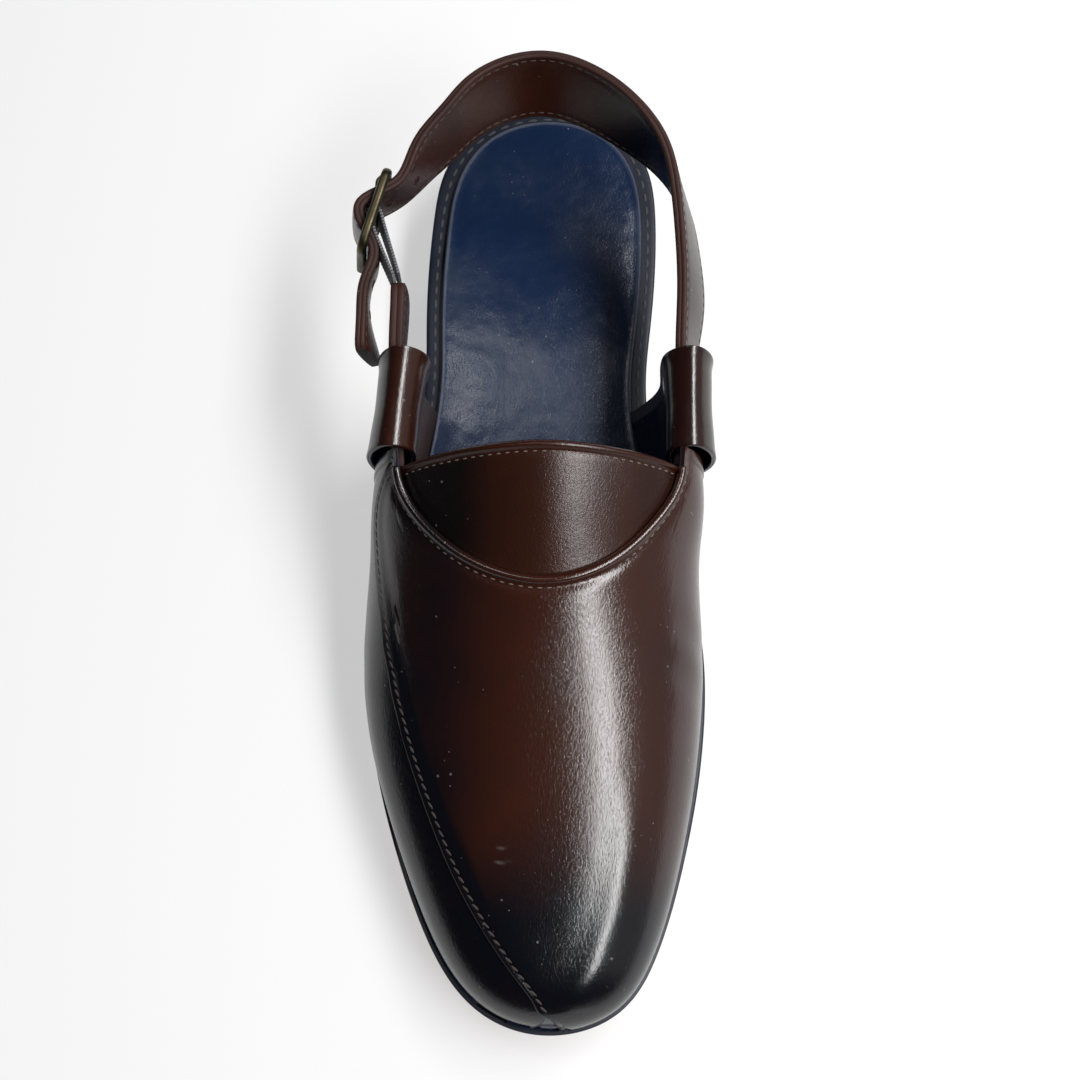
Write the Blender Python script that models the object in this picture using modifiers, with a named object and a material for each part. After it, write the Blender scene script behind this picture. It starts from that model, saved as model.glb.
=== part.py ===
"""Peshawari chappal: a man's right shoe with a closed toe, an open heel and a buckled back strap.

Sizes are in millimetres and the meshes are made in metres. The toe points along -Y, the outer
side with the buckle is -X, and the shoe stands on the floor at z = 0. A "station" is the
distance from the toe tip along the shoe. An angle "around" runs over the upper's section,
from 0 at the outer feather edge, over the instep at 90 degrees, to 180 at the inner one.
"""
import math

import bmesh
import bpy
import numpy as np
from mathutils import Matrix, Vector

MM = 0.001
NAME = "peshawari_chappal"

# Driving sizes
SOLE_LENGTH = 300.0
BOX_MIDDLE_X = -2.93
CLEARANCE = 0.3
SEAT_HEIGHT = 17.0
BALL_STATION = 108.0
BALL_HALF_WIDTH = 53.0
WAIST_STATION = 180.0
WAIST_HALF_WIDTH = 36.0
PAD_PROUD = 0.5
PAD_RECESS = 1.6
PAD_FRONT = 12.2
PAD_REAR = 146.5
PAD_SHOULDER = 20.0
PAD_EDGE_ROUND = 0.5
SOLE_EDGE_ROUND = 0.9

INSOLE_THICKNESS = 2.2
INSOLE_INSET = 5.8
INSOLE_EDGE_ROUND = 0.9

UPPER_WALL = 1.8
UPPER_FRONT = 2.8
UPPER_REAR = 160.6
THROAT_FRONT = 120.4
CORNER_AROUND = math.radians(44.0)
TONGUE_THICKNESS = 1.6
TONGUE_REAR = 155.0
TONGUE_UNDERLAP = 14.0
TONGUE_SIDE_LENGTH = 8.0
TONGUE_DEPTH = UPPER_WALL + 0.65
TONGUE_TUCK = math.radians(5.0)

BREAST_MIDDLE = 218.8
BREAST_HOLLOW = 2.6
RUBBER_THICKNESS = 5.0
RUBBER_OUTER_STATION = 246.3
RUBBER_INNER_STATION = 260.2
RUBBER_GROOVE = 0.9
CUTTER_SPARE = 5.0

LOOP_FRONT = 161.0
LOOP_REAR = 188.6
LOOP_THICKNESS = 1.6
OUTER_LOOP_SPLAY = 0.12
INNER_LOOP_SPLAY = 0.0

STRAP_THICKNESS = 3.2
SIDE_STRAP_THICKNESS = 3.4
STRAP_TURN_STATION = 230.0
ELASTIC_WIDTH = 16.0
ELASTIC_THICKNESS = 0.9
ELASTIC_HALF_GAP = 0.4
ELASTIC_START = 1.8

BUCKLE_MIDDLE = (-50.7, 233.8, 62.0)
BUCKLE_TURN = math.radians(16.5)
BUCKLE_SLOPE = math.radians(8.0)
BUCKLE_LEAN = math.radians(-10.0)
BUCKLE_LENGTH = 28.0
BUCKLE_HEIGHT = 27.0
BUCKLE_CORNER = 3.5
BUCKLE_ROD = 1.4
BUCKLE_BAR = 1.2
PRONG_ROD = 0.8
PRONG_HOLE = 1.25


def table(columns, *rows):
    """A short table as arrays, one for each named column."""
    return dict(zip(columns, np.array(rows, float).T))


OUTLINE = table(
    ("station", "half_width", "middle"),
    (0.0, 0.0, 2.6),
    (5.8, 19.4, 2.7),
    (13.5, 27.2, 2.2),
    (21.0, 31.8, 1.7),
    (35.7, 38.2, 1.0),
    (50.0, 43.0, 0.4),
    (70.0, 48.3, -0.3),
    (89.0, 51.6, -0.9),
    (108.0, 52.9, -1.4),
    (126.0, 51.6, -1.9),
    (143.0, 47.8, -2.2),
    (160.0, 42.3, -2.3),
    (178.0, 38.2, -2.1),
    (200.0, 36.0, -1.4),
    (218.0, 36.9, -0.5),
    (240.0, 37.8, 0.7),
    (258.0, 37.5, 1.6),
    (274.5, 35.5, 2.2),
    (285.0, 30.9, 2.6),
    (295.7, 19.0, 2.9),
    (300.0, 0.0, 3.0),
)
PROFILE = table(
    ("station", "bottom", "top"),
    (0.0, 12.0, 18.0),
    (20.0, 8.4, 14.6),
    (50.0, 3.4, 10.0),
    (75.0, 0.9, 7.9),
    (92.0, 0.3, 7.4),
    (118.0, 0.3, 7.4),
    (135.0, 1.5, 8.4),
    (155.0, 5.3, 11.9),
    (180.0, 11.2, 17.2),
    (204.0, 16.0, 21.1),
    (214.0, 17.4, 22.1),
    (228.0, 18.4, 22.8),
    (260.0, 19.0, 23.1),
    (300.0, 19.0, 23.6),
)
PAD = table(
    ("station", "half_width", "middle"),
    (PAD_FRONT, 0.0, 1.0),
    (17.4, 13.8, 0.8),
    (22.6, 18.6, 0.6),
    (32.8, 24.4, 0.2),
    (42.8, 28.5, -0.5),
    (61.9, 33.4, -1.3),
    (80.3, 37.3, -2.0),
    (98.0, 40.0, -2.8),
    (108.8, 40.5, -3.2),
    (119.5, 39.0, -3.7),
    (128.0, 36.0, -4.1),
    (135.9, 30.4, -4.4),
    (141.5, 22.4, -4.5),
    (144.6, 14.4, -4.4),
    (PAD_REAR, 0.0, -4.3),
)
# Height is the crest over the feather edge; power shapes the section (2 is an ellipse)
UPPER = table(
    ("station", "inset", "height", "power", "bulge_outer", "bulge_inner", "ridge"),
    (UPPER_FRONT, 2.8, 0.0, 2.30, 0.00, 0.00, 0.0),
    (5.0, 2.8, 8.0, 2.30, 0.00, 0.00, 0.0),
    (9.0, 2.8, 13.2, 2.30, 0.01, 0.00, 0.1),
    (15.0, 2.8, 17.6, 2.30, 0.02, 0.00, 0.2),
    (25.0, 2.8, 21.6, 2.28, 0.04, 0.01, 0.5),
    (40.0, 2.7, 26.0, 2.25, 0.08, 0.01, 1.0),
    (60.0, 2.6, 31.0, 2.20, 0.13, 0.02, 1.5),
    (80.0, 2.5, 36.6, 2.12, 0.17, 0.03, 2.0),
    (100.0, 2.3, 43.6, 2.03, 0.17, 0.05, 2.4),
    (121.0, 1.9, 53.0, 1.95, 0.16, 0.09, 2.7),
    (138.0, 1.4, 60.6, 1.92, 0.21, 0.20, 3.0),
    (150.0, 1.1, 64.8, 1.96, 0.31, 0.36, 3.0),
    (165.0, 1.0, 69.0, 2.00, 0.42, 0.50, 3.0),
)
# The loops' bands, from the outer foot over the strap to the inner foot
OUTER_LOOP = table(
    ("side", "height"),
    (-39.4, 17.0),
    (-42.2, 27.0),
    (-45.4, 38.0),
    (-48.0, 48.0),
    (-48.7, 56.0),
    (-46.8, 63.6),
    (-42.2, 68.2),
    (-37.6, 65.4),
    (-35.8, 58.0),
    (-37.2, 48.0),
    (-39.2, 38.0),
    (-39.0, 28.0),
    (-36.6, 17.4),
)
INNER_LOOP = table(
    ("side", "height"),
    (35.2, 17.0),
    (40.0, 27.0),
    (45.4, 38.0),
    (50.0, 48.0),
    (50.8, 56.0),
    (48.8, 63.6),
    (44.0, 68.2),
    (39.4, 65.4),
    (37.8, 58.0),
    (38.8, 48.0),
    (39.4, 38.0),
    (37.0, 28.0),
    (32.4, 17.4),
)
# Middle line of each strap; lean is how far its top edge tips away from the shoe's middle
STRAP_COLUMNS = ("side", "station", "height", "lean", "width")
BACK_STRAP = table(
    STRAP_COLUMNS,
    (42.3, 158.6, 48.0, -14.0, 13.0),
    (42.8, 163.0, 49.0, -13.0, 13.0),
    (43.6, 175.0, 52.2, -15.0, 15.0),
    (43.9, 192.0, 56.2, -17.0, 18.0),
    (45.5, 208.0, 59.0, -22.0, 19.5),
    (44.8, 226.0, 62.3, -20.0, 20.5),
    (42.7, 241.0, 64.3, -15.0, 21.5),
    (37.4, 254.8, 66.0, -6.0, 22.0),
    (27.4, 267.4, 67.2, 4.0, 22.0),
    (15.6, 276.4, 68.0, 9.0, 22.0),
    (2.0, 281.0, 68.3, 10.0, 22.0),
    (-10.6, 279.0, 68.0, 10.0, 22.0),
    (-20.8, 272.6, 67.4, 10.0, 22.0),
    (-27.6, 264.0, 66.6, 10.0, 21.0),
    (-35.0, 254.6, 65.4, 8.0, 20.0),
)
# How the strap passes the buckle: inside its rear bar, over the middle bar, inside the front bar;
# twist is how far the strap's top edge tips out of the buckle's plane
BUCKLE_PASS = table(
    ("along", "out", "twist", "width"),
    (-12.6, -4.8, 4.0, 19.5),
    (-6.3, 0.4, 3.0, 19.5),
    (0.0, 4.8, 0.0, 19.5),
    (6.3, 0.8, -1.0, 19.5),
    (12.6, -3.8, 0.0, 19.5),
    (16.0, -3.9, -1.0, 19.5),
)
# The prong's line as distances along the buckle, up it and out of it
PRONG_POINTS = ((-3.0, 0.0, 0.3), (-12.0, 0.0, 2.6), (-13.6, 0.0, 2.5), (-15.2, 0.0, 1.8))
STRAP_TAIL = table(
    STRAP_COLUMNS,
    (-53.2, 208.0, 58.6, -14.0, 20.0),
    (-52.4, 199.0, 57.2, -3.0, 20.0),
    (-51.2, 190.6, 56.2, 10.0, 19.0),
)
SIDE_STRAP = table(
    STRAP_COLUMNS,
    (-42.9, 158.6, 47.4, -10.0, 12.0),
    (-42.9, 163.0, 48.4, -10.0, 12.5),
    (-42.4, 175.0, 52.0, -9.0, 14.5),
    (-42.1, 190.0, 57.0, -8.0, 17.0),
    (-41.3, 203.0, 60.4, -7.0, 19.0),
    (-41.1, 210.0, 61.2, -6.0, 19.0),
)


def spline(x, knots, values):
    """Natural cubic spline through values at the knots, read at x; values may have columns."""
    knots = np.asarray(knots, float)
    values = np.asarray(values, float)
    flat = values.reshape(len(knots), -1)
    step = np.diff(knots)
    slope = np.diff(flat, axis=0) / step[:, None]
    matrix = np.eye(len(knots))
    right = np.zeros_like(flat)
    for i in range(1, len(knots) - 1):
        matrix[i, i - 1:i + 2] = step[i - 1], 2 * (step[i - 1] + step[i]), step[i]
        right[i] = 6 * (slope[i] - slope[i - 1])
    bend = np.linalg.solve(matrix, right)
    x = np.asarray(x, float)
    i = np.clip(np.searchsorted(knots, x) - 1, 0, len(knots) - 2)
    width = step[i][..., None]
    a = (knots[i + 1] - x)[..., None] / width
    b = 1 - a
    curve = a * flat[i] + b * flat[i + 1]
    curve += ((a**3 - a) * bend[i] + (b**3 - b) * bend[i + 1]) * width**2 / 6
    return curve.reshape(x.shape + values.shape[1:])


def end_angle(station, front, rear):
    """Turns stations into an angle, 0 to pi, so that a width can close round at both ends."""
    share = (np.asarray(station, float) - front) / (rear - front)
    return np.arccos(np.clip(1 - 2 * share, -1, 1))


def round_stations(front, rear, count):
    """Stations crowded towards both ends, as end_angle wants them."""
    return front + (rear - front) * (1 - np.cos(np.linspace(0, math.pi, count))) / 2


def outline(station, inset=0.0, ends=None):
    """Half width and middle of the sole's outline, moved in by inset and closed round at ends."""
    ends = inset if ends is None else ends
    angle = end_angle(station, ends, SOLE_LENGTH - ends)
    knots = end_angle(OUTLINE["station"], 0, SOLE_LENGTH)
    half = np.maximum(spline(angle, knots, OUTLINE["half_width"]), 0)
    full_width = np.interp(station, (BALL_STATION, WAIST_STATION), (BALL_HALF_WIDTH, WAIST_HALF_WIDTH))
    return half - inset * np.minimum(half / full_width, 1), spline(angle, knots, OUTLINE["middle"])


def sole_bottom(station):
    """Height of the outsole's underside: toe spring, flat tread, arch and flat heel seat."""
    return np.clip(spline(station, PROFILE["station"], PROFILE["bottom"]), PAD_PROUD, SEAT_HEIGHT)


def sole_top(station):
    """Height of the outsole's upper face."""
    return spline(station, PROFILE["station"], PROFILE["top"])


def place(side, station, height):
    """Points of the shoe, in metres and in its own frame, from millimetres."""
    x = np.asarray(side, float) - BOX_MIDDLE_X
    y = np.asarray(station, float) - SOLE_LENGTH / 2
    return np.stack(np.broadcast_arrays(x, y, np.asarray(height, float)), axis=-1) * MM


def upper_point(station, around):
    """Outer face of the upper: power ellipses that lean out over the feather edge.

    Across the shoe the half width follows cos, plus a bulge that is strongest a third of the
    way up; the height follows sin. Both are raised to 2 / power.
    """
    rise = np.sqrt(np.clip(station - UPPER_FRONT, 0, None))
    knots = np.sqrt(UPPER["station"] - UPPER_FRONT)
    inset, height, power, bulge_outer, bulge_inner, ridge = (
        spline(rise, knots, UPPER[name])
        for name in ("inset", "height", "power", "bulge_outer", "bulge_inner", "ridge"))
    half, middle = outline(station, inset, UPPER_FRONT)
    cosine, sine = np.cos(around), np.sin(around)
    bulge = bulge_inner + (bulge_outer - bulge_inner) * np.cos(around / 2)**2
    across = np.sign(cosine) * np.abs(cosine)**(2 / power)
    across = across + bulge * np.sin(2 * around) * np.abs(cosine)
    side = middle + ridge * sine**2 - half * across
    top = sole_top(station) + CLEARANCE + np.maximum(height, 0) * np.abs(sine)**(2 / power)
    return np.stack(np.broadcast_arrays(side, station, top), axis=-1)


def inside_upper(station, around, depth):
    """Point at a depth under the upper's outer face, measured square to it."""
    step = 1e-3
    along = upper_point(station + step, around) - upper_point(station - step, around)
    over = upper_point(station, around + step) - upper_point(station, around - step)
    normal = np.cross(over, along)
    normal /= np.linalg.norm(normal, axis=-1, keepdims=True)
    return upper_point(station, around) - depth * normal * np.sign(normal[..., 2:3] + 1e-9)


def throat_edge(around):
    """Station where the upper ends: half an ellipse round the throat, straight behind its corners."""
    aside = np.clip(np.abs(np.cos(around)) / math.cos(CORNER_AROUND), 0, 1)
    return THROAT_FRONT + (UPPER_REAR - THROAT_FRONT) * (1 - np.sqrt(1 - aside**2))


def throat_angles(corner, count):
    """Angles around from corner to corner, evenly spread along the throat's edge."""
    aside = np.sin(np.linspace(-math.pi / 2, math.pi / 2, count))
    return np.arccos(-aside * math.cos(corner))


def material(name, colour, roughness, metallic=0.0):
    """A plain finish, made once and shared by the pieces that have it."""
    finish = bpy.data.materials.get(name)
    if finish is None:
        finish = bpy.data.materials.new(name)
        finish.use_nodes = True
        shader = finish.node_tree.nodes["Principled BSDF"]
        shader.inputs["Base Color"].default_value = (*colour, 1)
        shader.inputs["Roughness"].default_value = roughness
        shader.inputs["Metallic"].default_value = metallic
        finish.diffuse_color = (*colour, 1)
    return finish


def brown_leather():
    return material("brown leather", (0.060, 0.022, 0.014), 0.28)


def navy_leather():
    return material("navy lining leather", (0.012, 0.018, 0.060), 0.40)


def red_sole():
    return material("red moulded sole", (0.520, 0.060, 0.060), 0.45)


def black_rubber():
    return material("black rubber", (0.035, 0.035, 0.038), 0.65)


def black_elastic():
    return material("black elastic web", (0.012, 0.012, 0.013), 0.80)


def old_brass():
    return material("antique brass", (0.160, 0.120, 0.060), 0.35, 1.0)


def finish_mesh(name, bm, finish, collection):
    """Merges the shape's doubles, keeps its faces pointing out and adds it as an object."""
    bmesh.ops.remove_doubles(bm, verts=bm.verts, dist=0.00001)
    bmesh.ops.recalc_face_normals(bm, faces=bm.faces)
    mesh = bpy.data.meshes.new(name)
    bm.to_mesh(mesh)
    bm.free()
    mesh.shade_smooth()
    mesh.set_sharp_from_angle(angle=math.radians(35))
    mesh.materials.append(finish)
    piece = bpy.data.objects.new(name, mesh)
    collection.objects.link(piece)
    return piece


def loft(name, rings, finish, collection):
    """A closed solid through rings of equal count, capped at both ends."""
    bm = bmesh.new()
    made = [[bm.verts.new(point) for point in ring] for ring in rings]
    for near, far in zip(made, made[1:]):
        for i, corner in enumerate(near):
            j = (i + 1) % len(near)
            bm.faces.new((corner, near[j], far[j], far[i]))
    bm.faces.new(made[0])
    bm.faces.new(made[-1])
    bmesh.ops.dissolve_degenerate(bm, dist=0.000001, edges=bm.edges)
    return finish_mesh(name, bm, finish, collection)


def shell(name, points, thickness, finish, collection):
    """A wall of even thickness, inwards from a grid of points on its outer face."""
    bm = bmesh.new()
    made = [[bm.verts.new(point) for point in row] for row in points]
    for near, far in zip(made, made[1:]):
        for i in range(len(near) - 1):
            bm.faces.new((near[i], near[i + 1], far[i + 1], far[i]))
    bmesh.ops.remove_doubles(bm, verts=bm.verts, dist=0.00001)
    bm.normal_update()
    if sum(face.normal.z * face.calc_area() for face in bm.faces) < 0:
        bmesh.ops.reverse_faces(bm, faces=bm.faces)
    mesh = bpy.data.meshes.new(name)
    bm.to_mesh(mesh)
    bm.free()
    mesh.shade_smooth()
    mesh.materials.append(finish)
    piece = bpy.data.objects.new(name, mesh)
    collection.objects.link(piece)
    wall = piece.modifiers.new("wall", "SOLIDIFY")
    wall.thickness = thickness * MM
    wall.offset = -1
    wall.use_even_offset = True
    wall.use_quality_normals = True
    return piece


def plate_rings(stations, half, middle, low, high, edge):
    """Rings of a plate lying along the shoe, with its long edges eased by edge."""
    rings = []
    for s, w, c, z0, z1 in zip(stations, half, middle, low, high):
        e = min(edge, 0.4 * w, 0.4 * (z1 - z0))
        inner = w - e
        across = (-inner, -inner / 2, 0, inner / 2, inner)
        ring = [(c + x, s, z0) for x in across]
        ring += [(c + w, s, z0 + min(e, w)), (c + w, s, z1 - min(e, w))]
        ring += [(c + x, s, z1) for x in reversed(across)]
        ring += [(c - w, s, z1 - min(e, w)), (c - w, s, z0 + min(e, w))]
        rings.append(place(*np.array(ring).T))
    return rings


def cut(piece, cutter, operation="DIFFERENCE"):
    """A Boolean that stays on the piece; its cutter stays hidden."""
    step = piece.modifiers.new(cutter.name, "BOOLEAN")
    step.operation = operation
    step.solver = "EXACT"
    step.object = cutter
    cutter.hide_render = True
    cutter.display_type = "WIRE"


def pad_outline(station, grow=0.0):
    """Half width and middle of the forefoot pad's egg shape."""
    knots = end_angle(PAD["station"], PAD_FRONT, PAD_REAR)
    angle = end_angle(station, PAD_FRONT - grow, PAD_REAR + grow)
    half = np.maximum(spline(angle, knots, PAD["half_width"]), 0)
    return half + grow * np.minimum(half / PAD_SHOULDER, 1), spline(angle, knots, PAD["middle"])


def pad_rings(grow, low, high, edge):
    """The pad's plate, or its recess when grown, between two offsets from the sole's underside."""
    stations = round_stations(PAD_FRONT - grow, PAD_REAR + grow, 27)
    half, middle = pad_outline(stations, grow)
    face = sole_bottom(stations)
    return plate_rings(stations, half, middle, face + low, face + high, edge)


def make_outsole(parts, cutters):
    """Moulded outsole from toe to heel end, with the recess for the forefoot pad."""
    stations = round_stations(0, SOLE_LENGTH, 43)
    half, middle = outline(stations)
    rings = plate_rings(stations, half, middle, sole_bottom(stations), sole_top(stations),
                        SOLE_EDGE_ROUND)
    piece = loft("outsole", rings, red_sole(), parts)
    recess = loft("pad_recess", pad_rings(CLEARANCE, -CUTTER_SPARE, PAD_RECESS + CLEARANCE, 0.0),
                  red_sole(), cutters)
    cut(piece, recess)


def make_forefoot_pad(parts):
    """Tread pad of black rubber let into the sole and standing a little proud of it."""
    rings = pad_rings(0.0, -PAD_PROUD, PAD_RECESS, PAD_EDGE_ROUND)
    loft("forefoot_pad", rings, black_rubber(), parts)


def heel_outline(points_along=15, points_across=7):
    """The heel's plan outline: hollow breast in front, the sole's own curve behind."""
    across = np.linspace(-1, 1, points_across)
    breast = BREAST_MIDDLE - BREAST_HOLLOW * across**2
    half, middle = outline(breast)
    front = np.stack([middle + across * half, breast], axis=1)
    corner = BREAST_MIDDLE - BREAST_HOLLOW
    turn = np.linspace(0, math.pi / 2, points_along)[1:]
    along = corner + (SOLE_LENGTH - corner) * np.sin(turn)
    half, middle = outline(along)
    inner = np.stack([middle + half, along], axis=1)
    outer = np.stack([middle - half, along], axis=1)[-2::-1]
    return np.concatenate([front, inner, outer])


def make_heel(parts, cutters):
    """Heel block under the seat, and the rubber let into its rear with a slanting front edge."""
    plan = heel_outline()
    rubber_top = RUBBER_THICKNESS + CLEARANCE

    def prism(name, low, high, finish, collection):
        rings = [place(plan[:, 0], plan[:, 1], z) for z in (low, high)]
        return loft(name, rings, finish, collection)

    def rear_side(name, shift, top):
        """A box that holds everything behind the slanting line, up to a height."""
        half, middle = outline(np.array([RUBBER_OUTER_STATION, RUBBER_INNER_STATION]))
        a = Vector((middle[0] - half[0], RUBBER_OUTER_STATION, 0))
        b = Vector((middle[1] + half[1], RUBBER_INNER_STATION, 0))
        line = (b - a).normalized()
        back = Vector((-line.y, line.x, 0))
        corners = [a - CUTTER_SPARE * line, b + CUTTER_SPARE * line]
        corners += [corners[1] + SOLE_LENGTH * back, corners[0] + SOLE_LENGTH * back]
        flat = np.array([corner + shift * back for corner in corners])
        rings = [place(flat[:, 0], flat[:, 1], z) for z in (-CUTTER_SPARE, top)]
        return loft(name, rings, black_rubber(), cutters)

    block = prism("heel", 0.0, SEAT_HEIGHT - CLEARANCE, red_sole(), parts)
    cut(block, rear_side("rubber_seat", -RUBBER_GROOVE, rubber_top))
    rubber = prism("heel_rubber", 0.0, RUBBER_THICKNESS, black_rubber(), parts)
    cut(rubber, rear_side("rubber_front", 0.0, RUBBER_THICKNESS + CUTTER_SPARE),
        "INTERSECT")


def make_insole(parts):
    """Padded insole lying on the outsole, inside the upper's feather edge."""
    stations = round_stations(INSOLE_INSET, SOLE_LENGTH - INSOLE_INSET, 37)
    half, middle = outline(stations, INSOLE_INSET)
    low = sole_top(stations) + CLEARANCE
    rings = plate_rings(stations, half, middle, low, low + INSOLE_THICKNESS,
                        INSOLE_EDGE_ROUND)
    loft("insole", rings, navy_leather(), parts)


def make_upper(parts):
    """Closed-toe vamp, one wall from feather edge to feather edge, open behind the throat."""
    side = np.linspace(0, CORNER_AROUND, 8)[:-1]
    around = np.concatenate([side, throat_angles(CORNER_AROUND, 17), math.pi - side[::-1]])[:, None]
    share = 1 - np.cos(np.linspace(0, math.pi / 2, 25))[None, :]
    station = UPPER_FRONT + (throat_edge(around) - UPPER_FRONT) * share
    points = upper_point(station, np.broadcast_to(around, station.shape))
    shell("upper", place(*np.moveaxis(points, -1, 0)), UPPER_WALL, brown_leather(), parts)


def make_tongue(parts):
    """Instep apron under the throat, fixed under the vamp's edge and cut straight behind."""
    around = throat_angles(CORNER_AROUND - TONGUE_TUCK, 19)[:, None]
    share = np.linspace(0, 1, 8)[None, :]
    front = np.minimum(throat_edge(around) - TONGUE_UNDERLAP, TONGUE_REAR - TONGUE_SIDE_LENGTH)
    station = front + (TONGUE_REAR - front) * share
    points = inside_upper(station, np.broadcast_to(around, station.shape), TONGUE_DEPTH)
    shell("tongue", place(*np.moveaxis(points, -1, 0)), TONGUE_THICKNESS, brown_leather(), parts)


def strip(name, middle, up, thickness, finish, collection):
    """A flat band carried along its middle line; up runs from there to its upper edge."""
    along = np.gradient(middle, axis=0)
    face = np.cross(along, up)
    face /= np.linalg.norm(face, axis=1, keepdims=True)
    half = thickness / 2
    ease = 0.56 * half
    rings = []
    for m, u, f in zip(middle, up, face):
        edge = 1 - ease / np.linalg.norm(u)
        corners = ((edge, half), (1, half - ease), (1, ease - half), (edge, -half),
                   (-edge, -half), (-1, ease - half), (-1, half - ease), (-edge, half))
        rings.append(place(*np.array([m + a * u + b * f for a, b in corners]).T))
    return loft(name, rings, finish, collection)


def path_length(points):
    """Distance along a line of points."""
    return np.concatenate([[0], np.cumsum(np.linalg.norm(np.diff(points, axis=0), axis=1))])


def strap_knots(rows):
    """Middle points, directions of the width and half widths of a strap at its table's rows."""
    line = np.stack([rows["side"], rows["station"], rows["height"]], axis=1)
    behind = np.maximum(rows["station"] - STRAP_TURN_STATION, 0)
    outward = np.stack([rows["side"], behind, np.zeros(len(line))], axis=1)
    outward /= np.linalg.norm(outward, axis=1, keepdims=True)
    lean = np.radians(rows["lean"])[:, None]
    up = np.cos(lean) * np.array([0, 0, 1.0]) + np.sin(lean) * outward
    return line, up, rows["width"][:, None] / 2


def buckle_knots():
    """The same for the stretch of strap that bends round the buckle's bars."""
    line = [in_buckle(along, 0, out) for along, out in zip(BUCKLE_PASS["along"], BUCKLE_PASS["out"])]
    _, up_bar, out_of = np.array(buckle_axes())
    twist = np.radians(BUCKLE_PASS["twist"])[:, None]
    up = np.cos(twist) * up_bar + np.sin(twist) * out_of
    return np.array(line), up, BUCKLE_PASS["width"][:, None] / 2


def strap_strip(name, knots, count, thickness, parts):
    """A strap smooth through its knots."""
    line, up, half_width = knots
    length = path_length(line)
    at = np.linspace(0, length[-1], count)
    middle = spline(at, length, line)
    up = spline(at, length, up)
    along = np.gradient(middle, axis=0)
    along /= np.linalg.norm(along, axis=1, keepdims=True)
    up -= np.sum(up * along, axis=1, keepdims=True) * along
    up *= spline(at, length, half_width) / np.linalg.norm(up, axis=1, keepdims=True)
    return strip(name, middle, up, thickness, brown_leather(), parts)


def make_straps(parts, cutters):
    """Back strap round the heel and through the buckle, and the short side strap."""
    stretches = strap_knots(BACK_STRAP), buckle_knots(), strap_knots(STRAP_TAIL)
    knots = [np.concatenate(columns) for columns in zip(*stretches)]
    strap = strap_strip("back_strap", knots, 78, STRAP_THICKNESS, parts)
    hole_ends = [in_buckle(*PRONG_POINTS[0]), in_buckle(*PRONG_POINTS[1])]
    cut(strap, rod("prong_hole", hole_ends, PRONG_HOLE, brown_leather(), cutters))
    strap_strip("side_strap", strap_knots(SIDE_STRAP), 13, SIDE_STRAP_THICKNESS, parts)


def make_loop(name, rows, side_sign, splay, parts):
    """A band that rises from the waist, folds over the strap and goes down again inside.

    Its foot follows the sole's edge and slope, and its crest is level and splayed less.
    """
    ends = np.array([LOOP_FRONT, LOOP_REAR])
    half, middle = outline(ends)
    edge = middle + side_sign * half
    foot_splay, = np.diff(edge) / np.diff(ends)
    foot_slope, = np.diff(sole_top(ends)) / np.diff(ends)
    flat = np.stack([rows["side"], rows["height"]], axis=1)
    length = path_length(flat)
    flat = spline(np.linspace(0, length[-1], 34), length, flat)
    low, high = flat[:, 1].min(), flat[:, 1].max()
    foot = (high - flat[:, 1]) / (high - low)
    line = np.stack([flat[:, 0], np.full(len(flat), ends.mean()), flat[:, 1]], axis=1)
    splay = foot * foot_splay + (1 - foot) * splay
    up = np.stack([splay, np.ones(len(flat)), foot * foot_slope], axis=1)
    strip(name, line, up * (LOOP_REAR - LOOP_FRONT) / 2, LOOP_THICKNESS, brown_leather(), parts)


def buckle_axes():
    """Axes of the buckle: along towards its front, up its height, and out of the shoe."""
    level = math.cos(BUCKLE_SLOPE)
    along = Vector((-math.sin(BUCKLE_TURN) * level, -math.cos(BUCKLE_TURN) * level,
                    -math.sin(BUCKLE_SLOPE)))
    out = Vector((-math.cos(BUCKLE_TURN), math.sin(BUCKLE_TURN), 0))
    up = Matrix.Rotation(BUCKLE_LEAN, 3, along) @ out.cross(along).normalized()
    return along, up, along.cross(up).normalized()


def in_buckle(along, up, out):
    """A point given by its distances from the buckle's middle, in millimetres."""
    return np.array(BUCKLE_MIDDLE) + np.array([along, up, out]) @ np.array(buckle_axes())


def rod(name, points, radius, finish, collection, closed=False):
    """A round rod through points, made a closed mesh."""
    curve = bpy.data.curves.new(name, "CURVE")
    curve.dimensions = "3D"
    curve.bevel_depth = radius * MM
    curve.bevel_resolution = 2
    curve.use_fill_caps = not closed
    line = curve.splines.new("POLY")
    line.points.add(len(points) - 1)
    for point, target in zip(place(*np.array(points, float).T), line.points):
        target.co = (*point, 1)
    line.use_cyclic_u = closed
    shape = bpy.data.objects.new(name + "_line", curve)
    collection.objects.link(shape)
    depsgraph = bpy.context.evaluated_depsgraph_get()
    mesh = bpy.data.meshes.new_from_object(shape.evaluated_get(depsgraph))
    bm = bmesh.new()
    bm.from_mesh(mesh)
    bpy.data.objects.remove(shape)
    return finish_mesh(name, bm, finish, collection)


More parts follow.
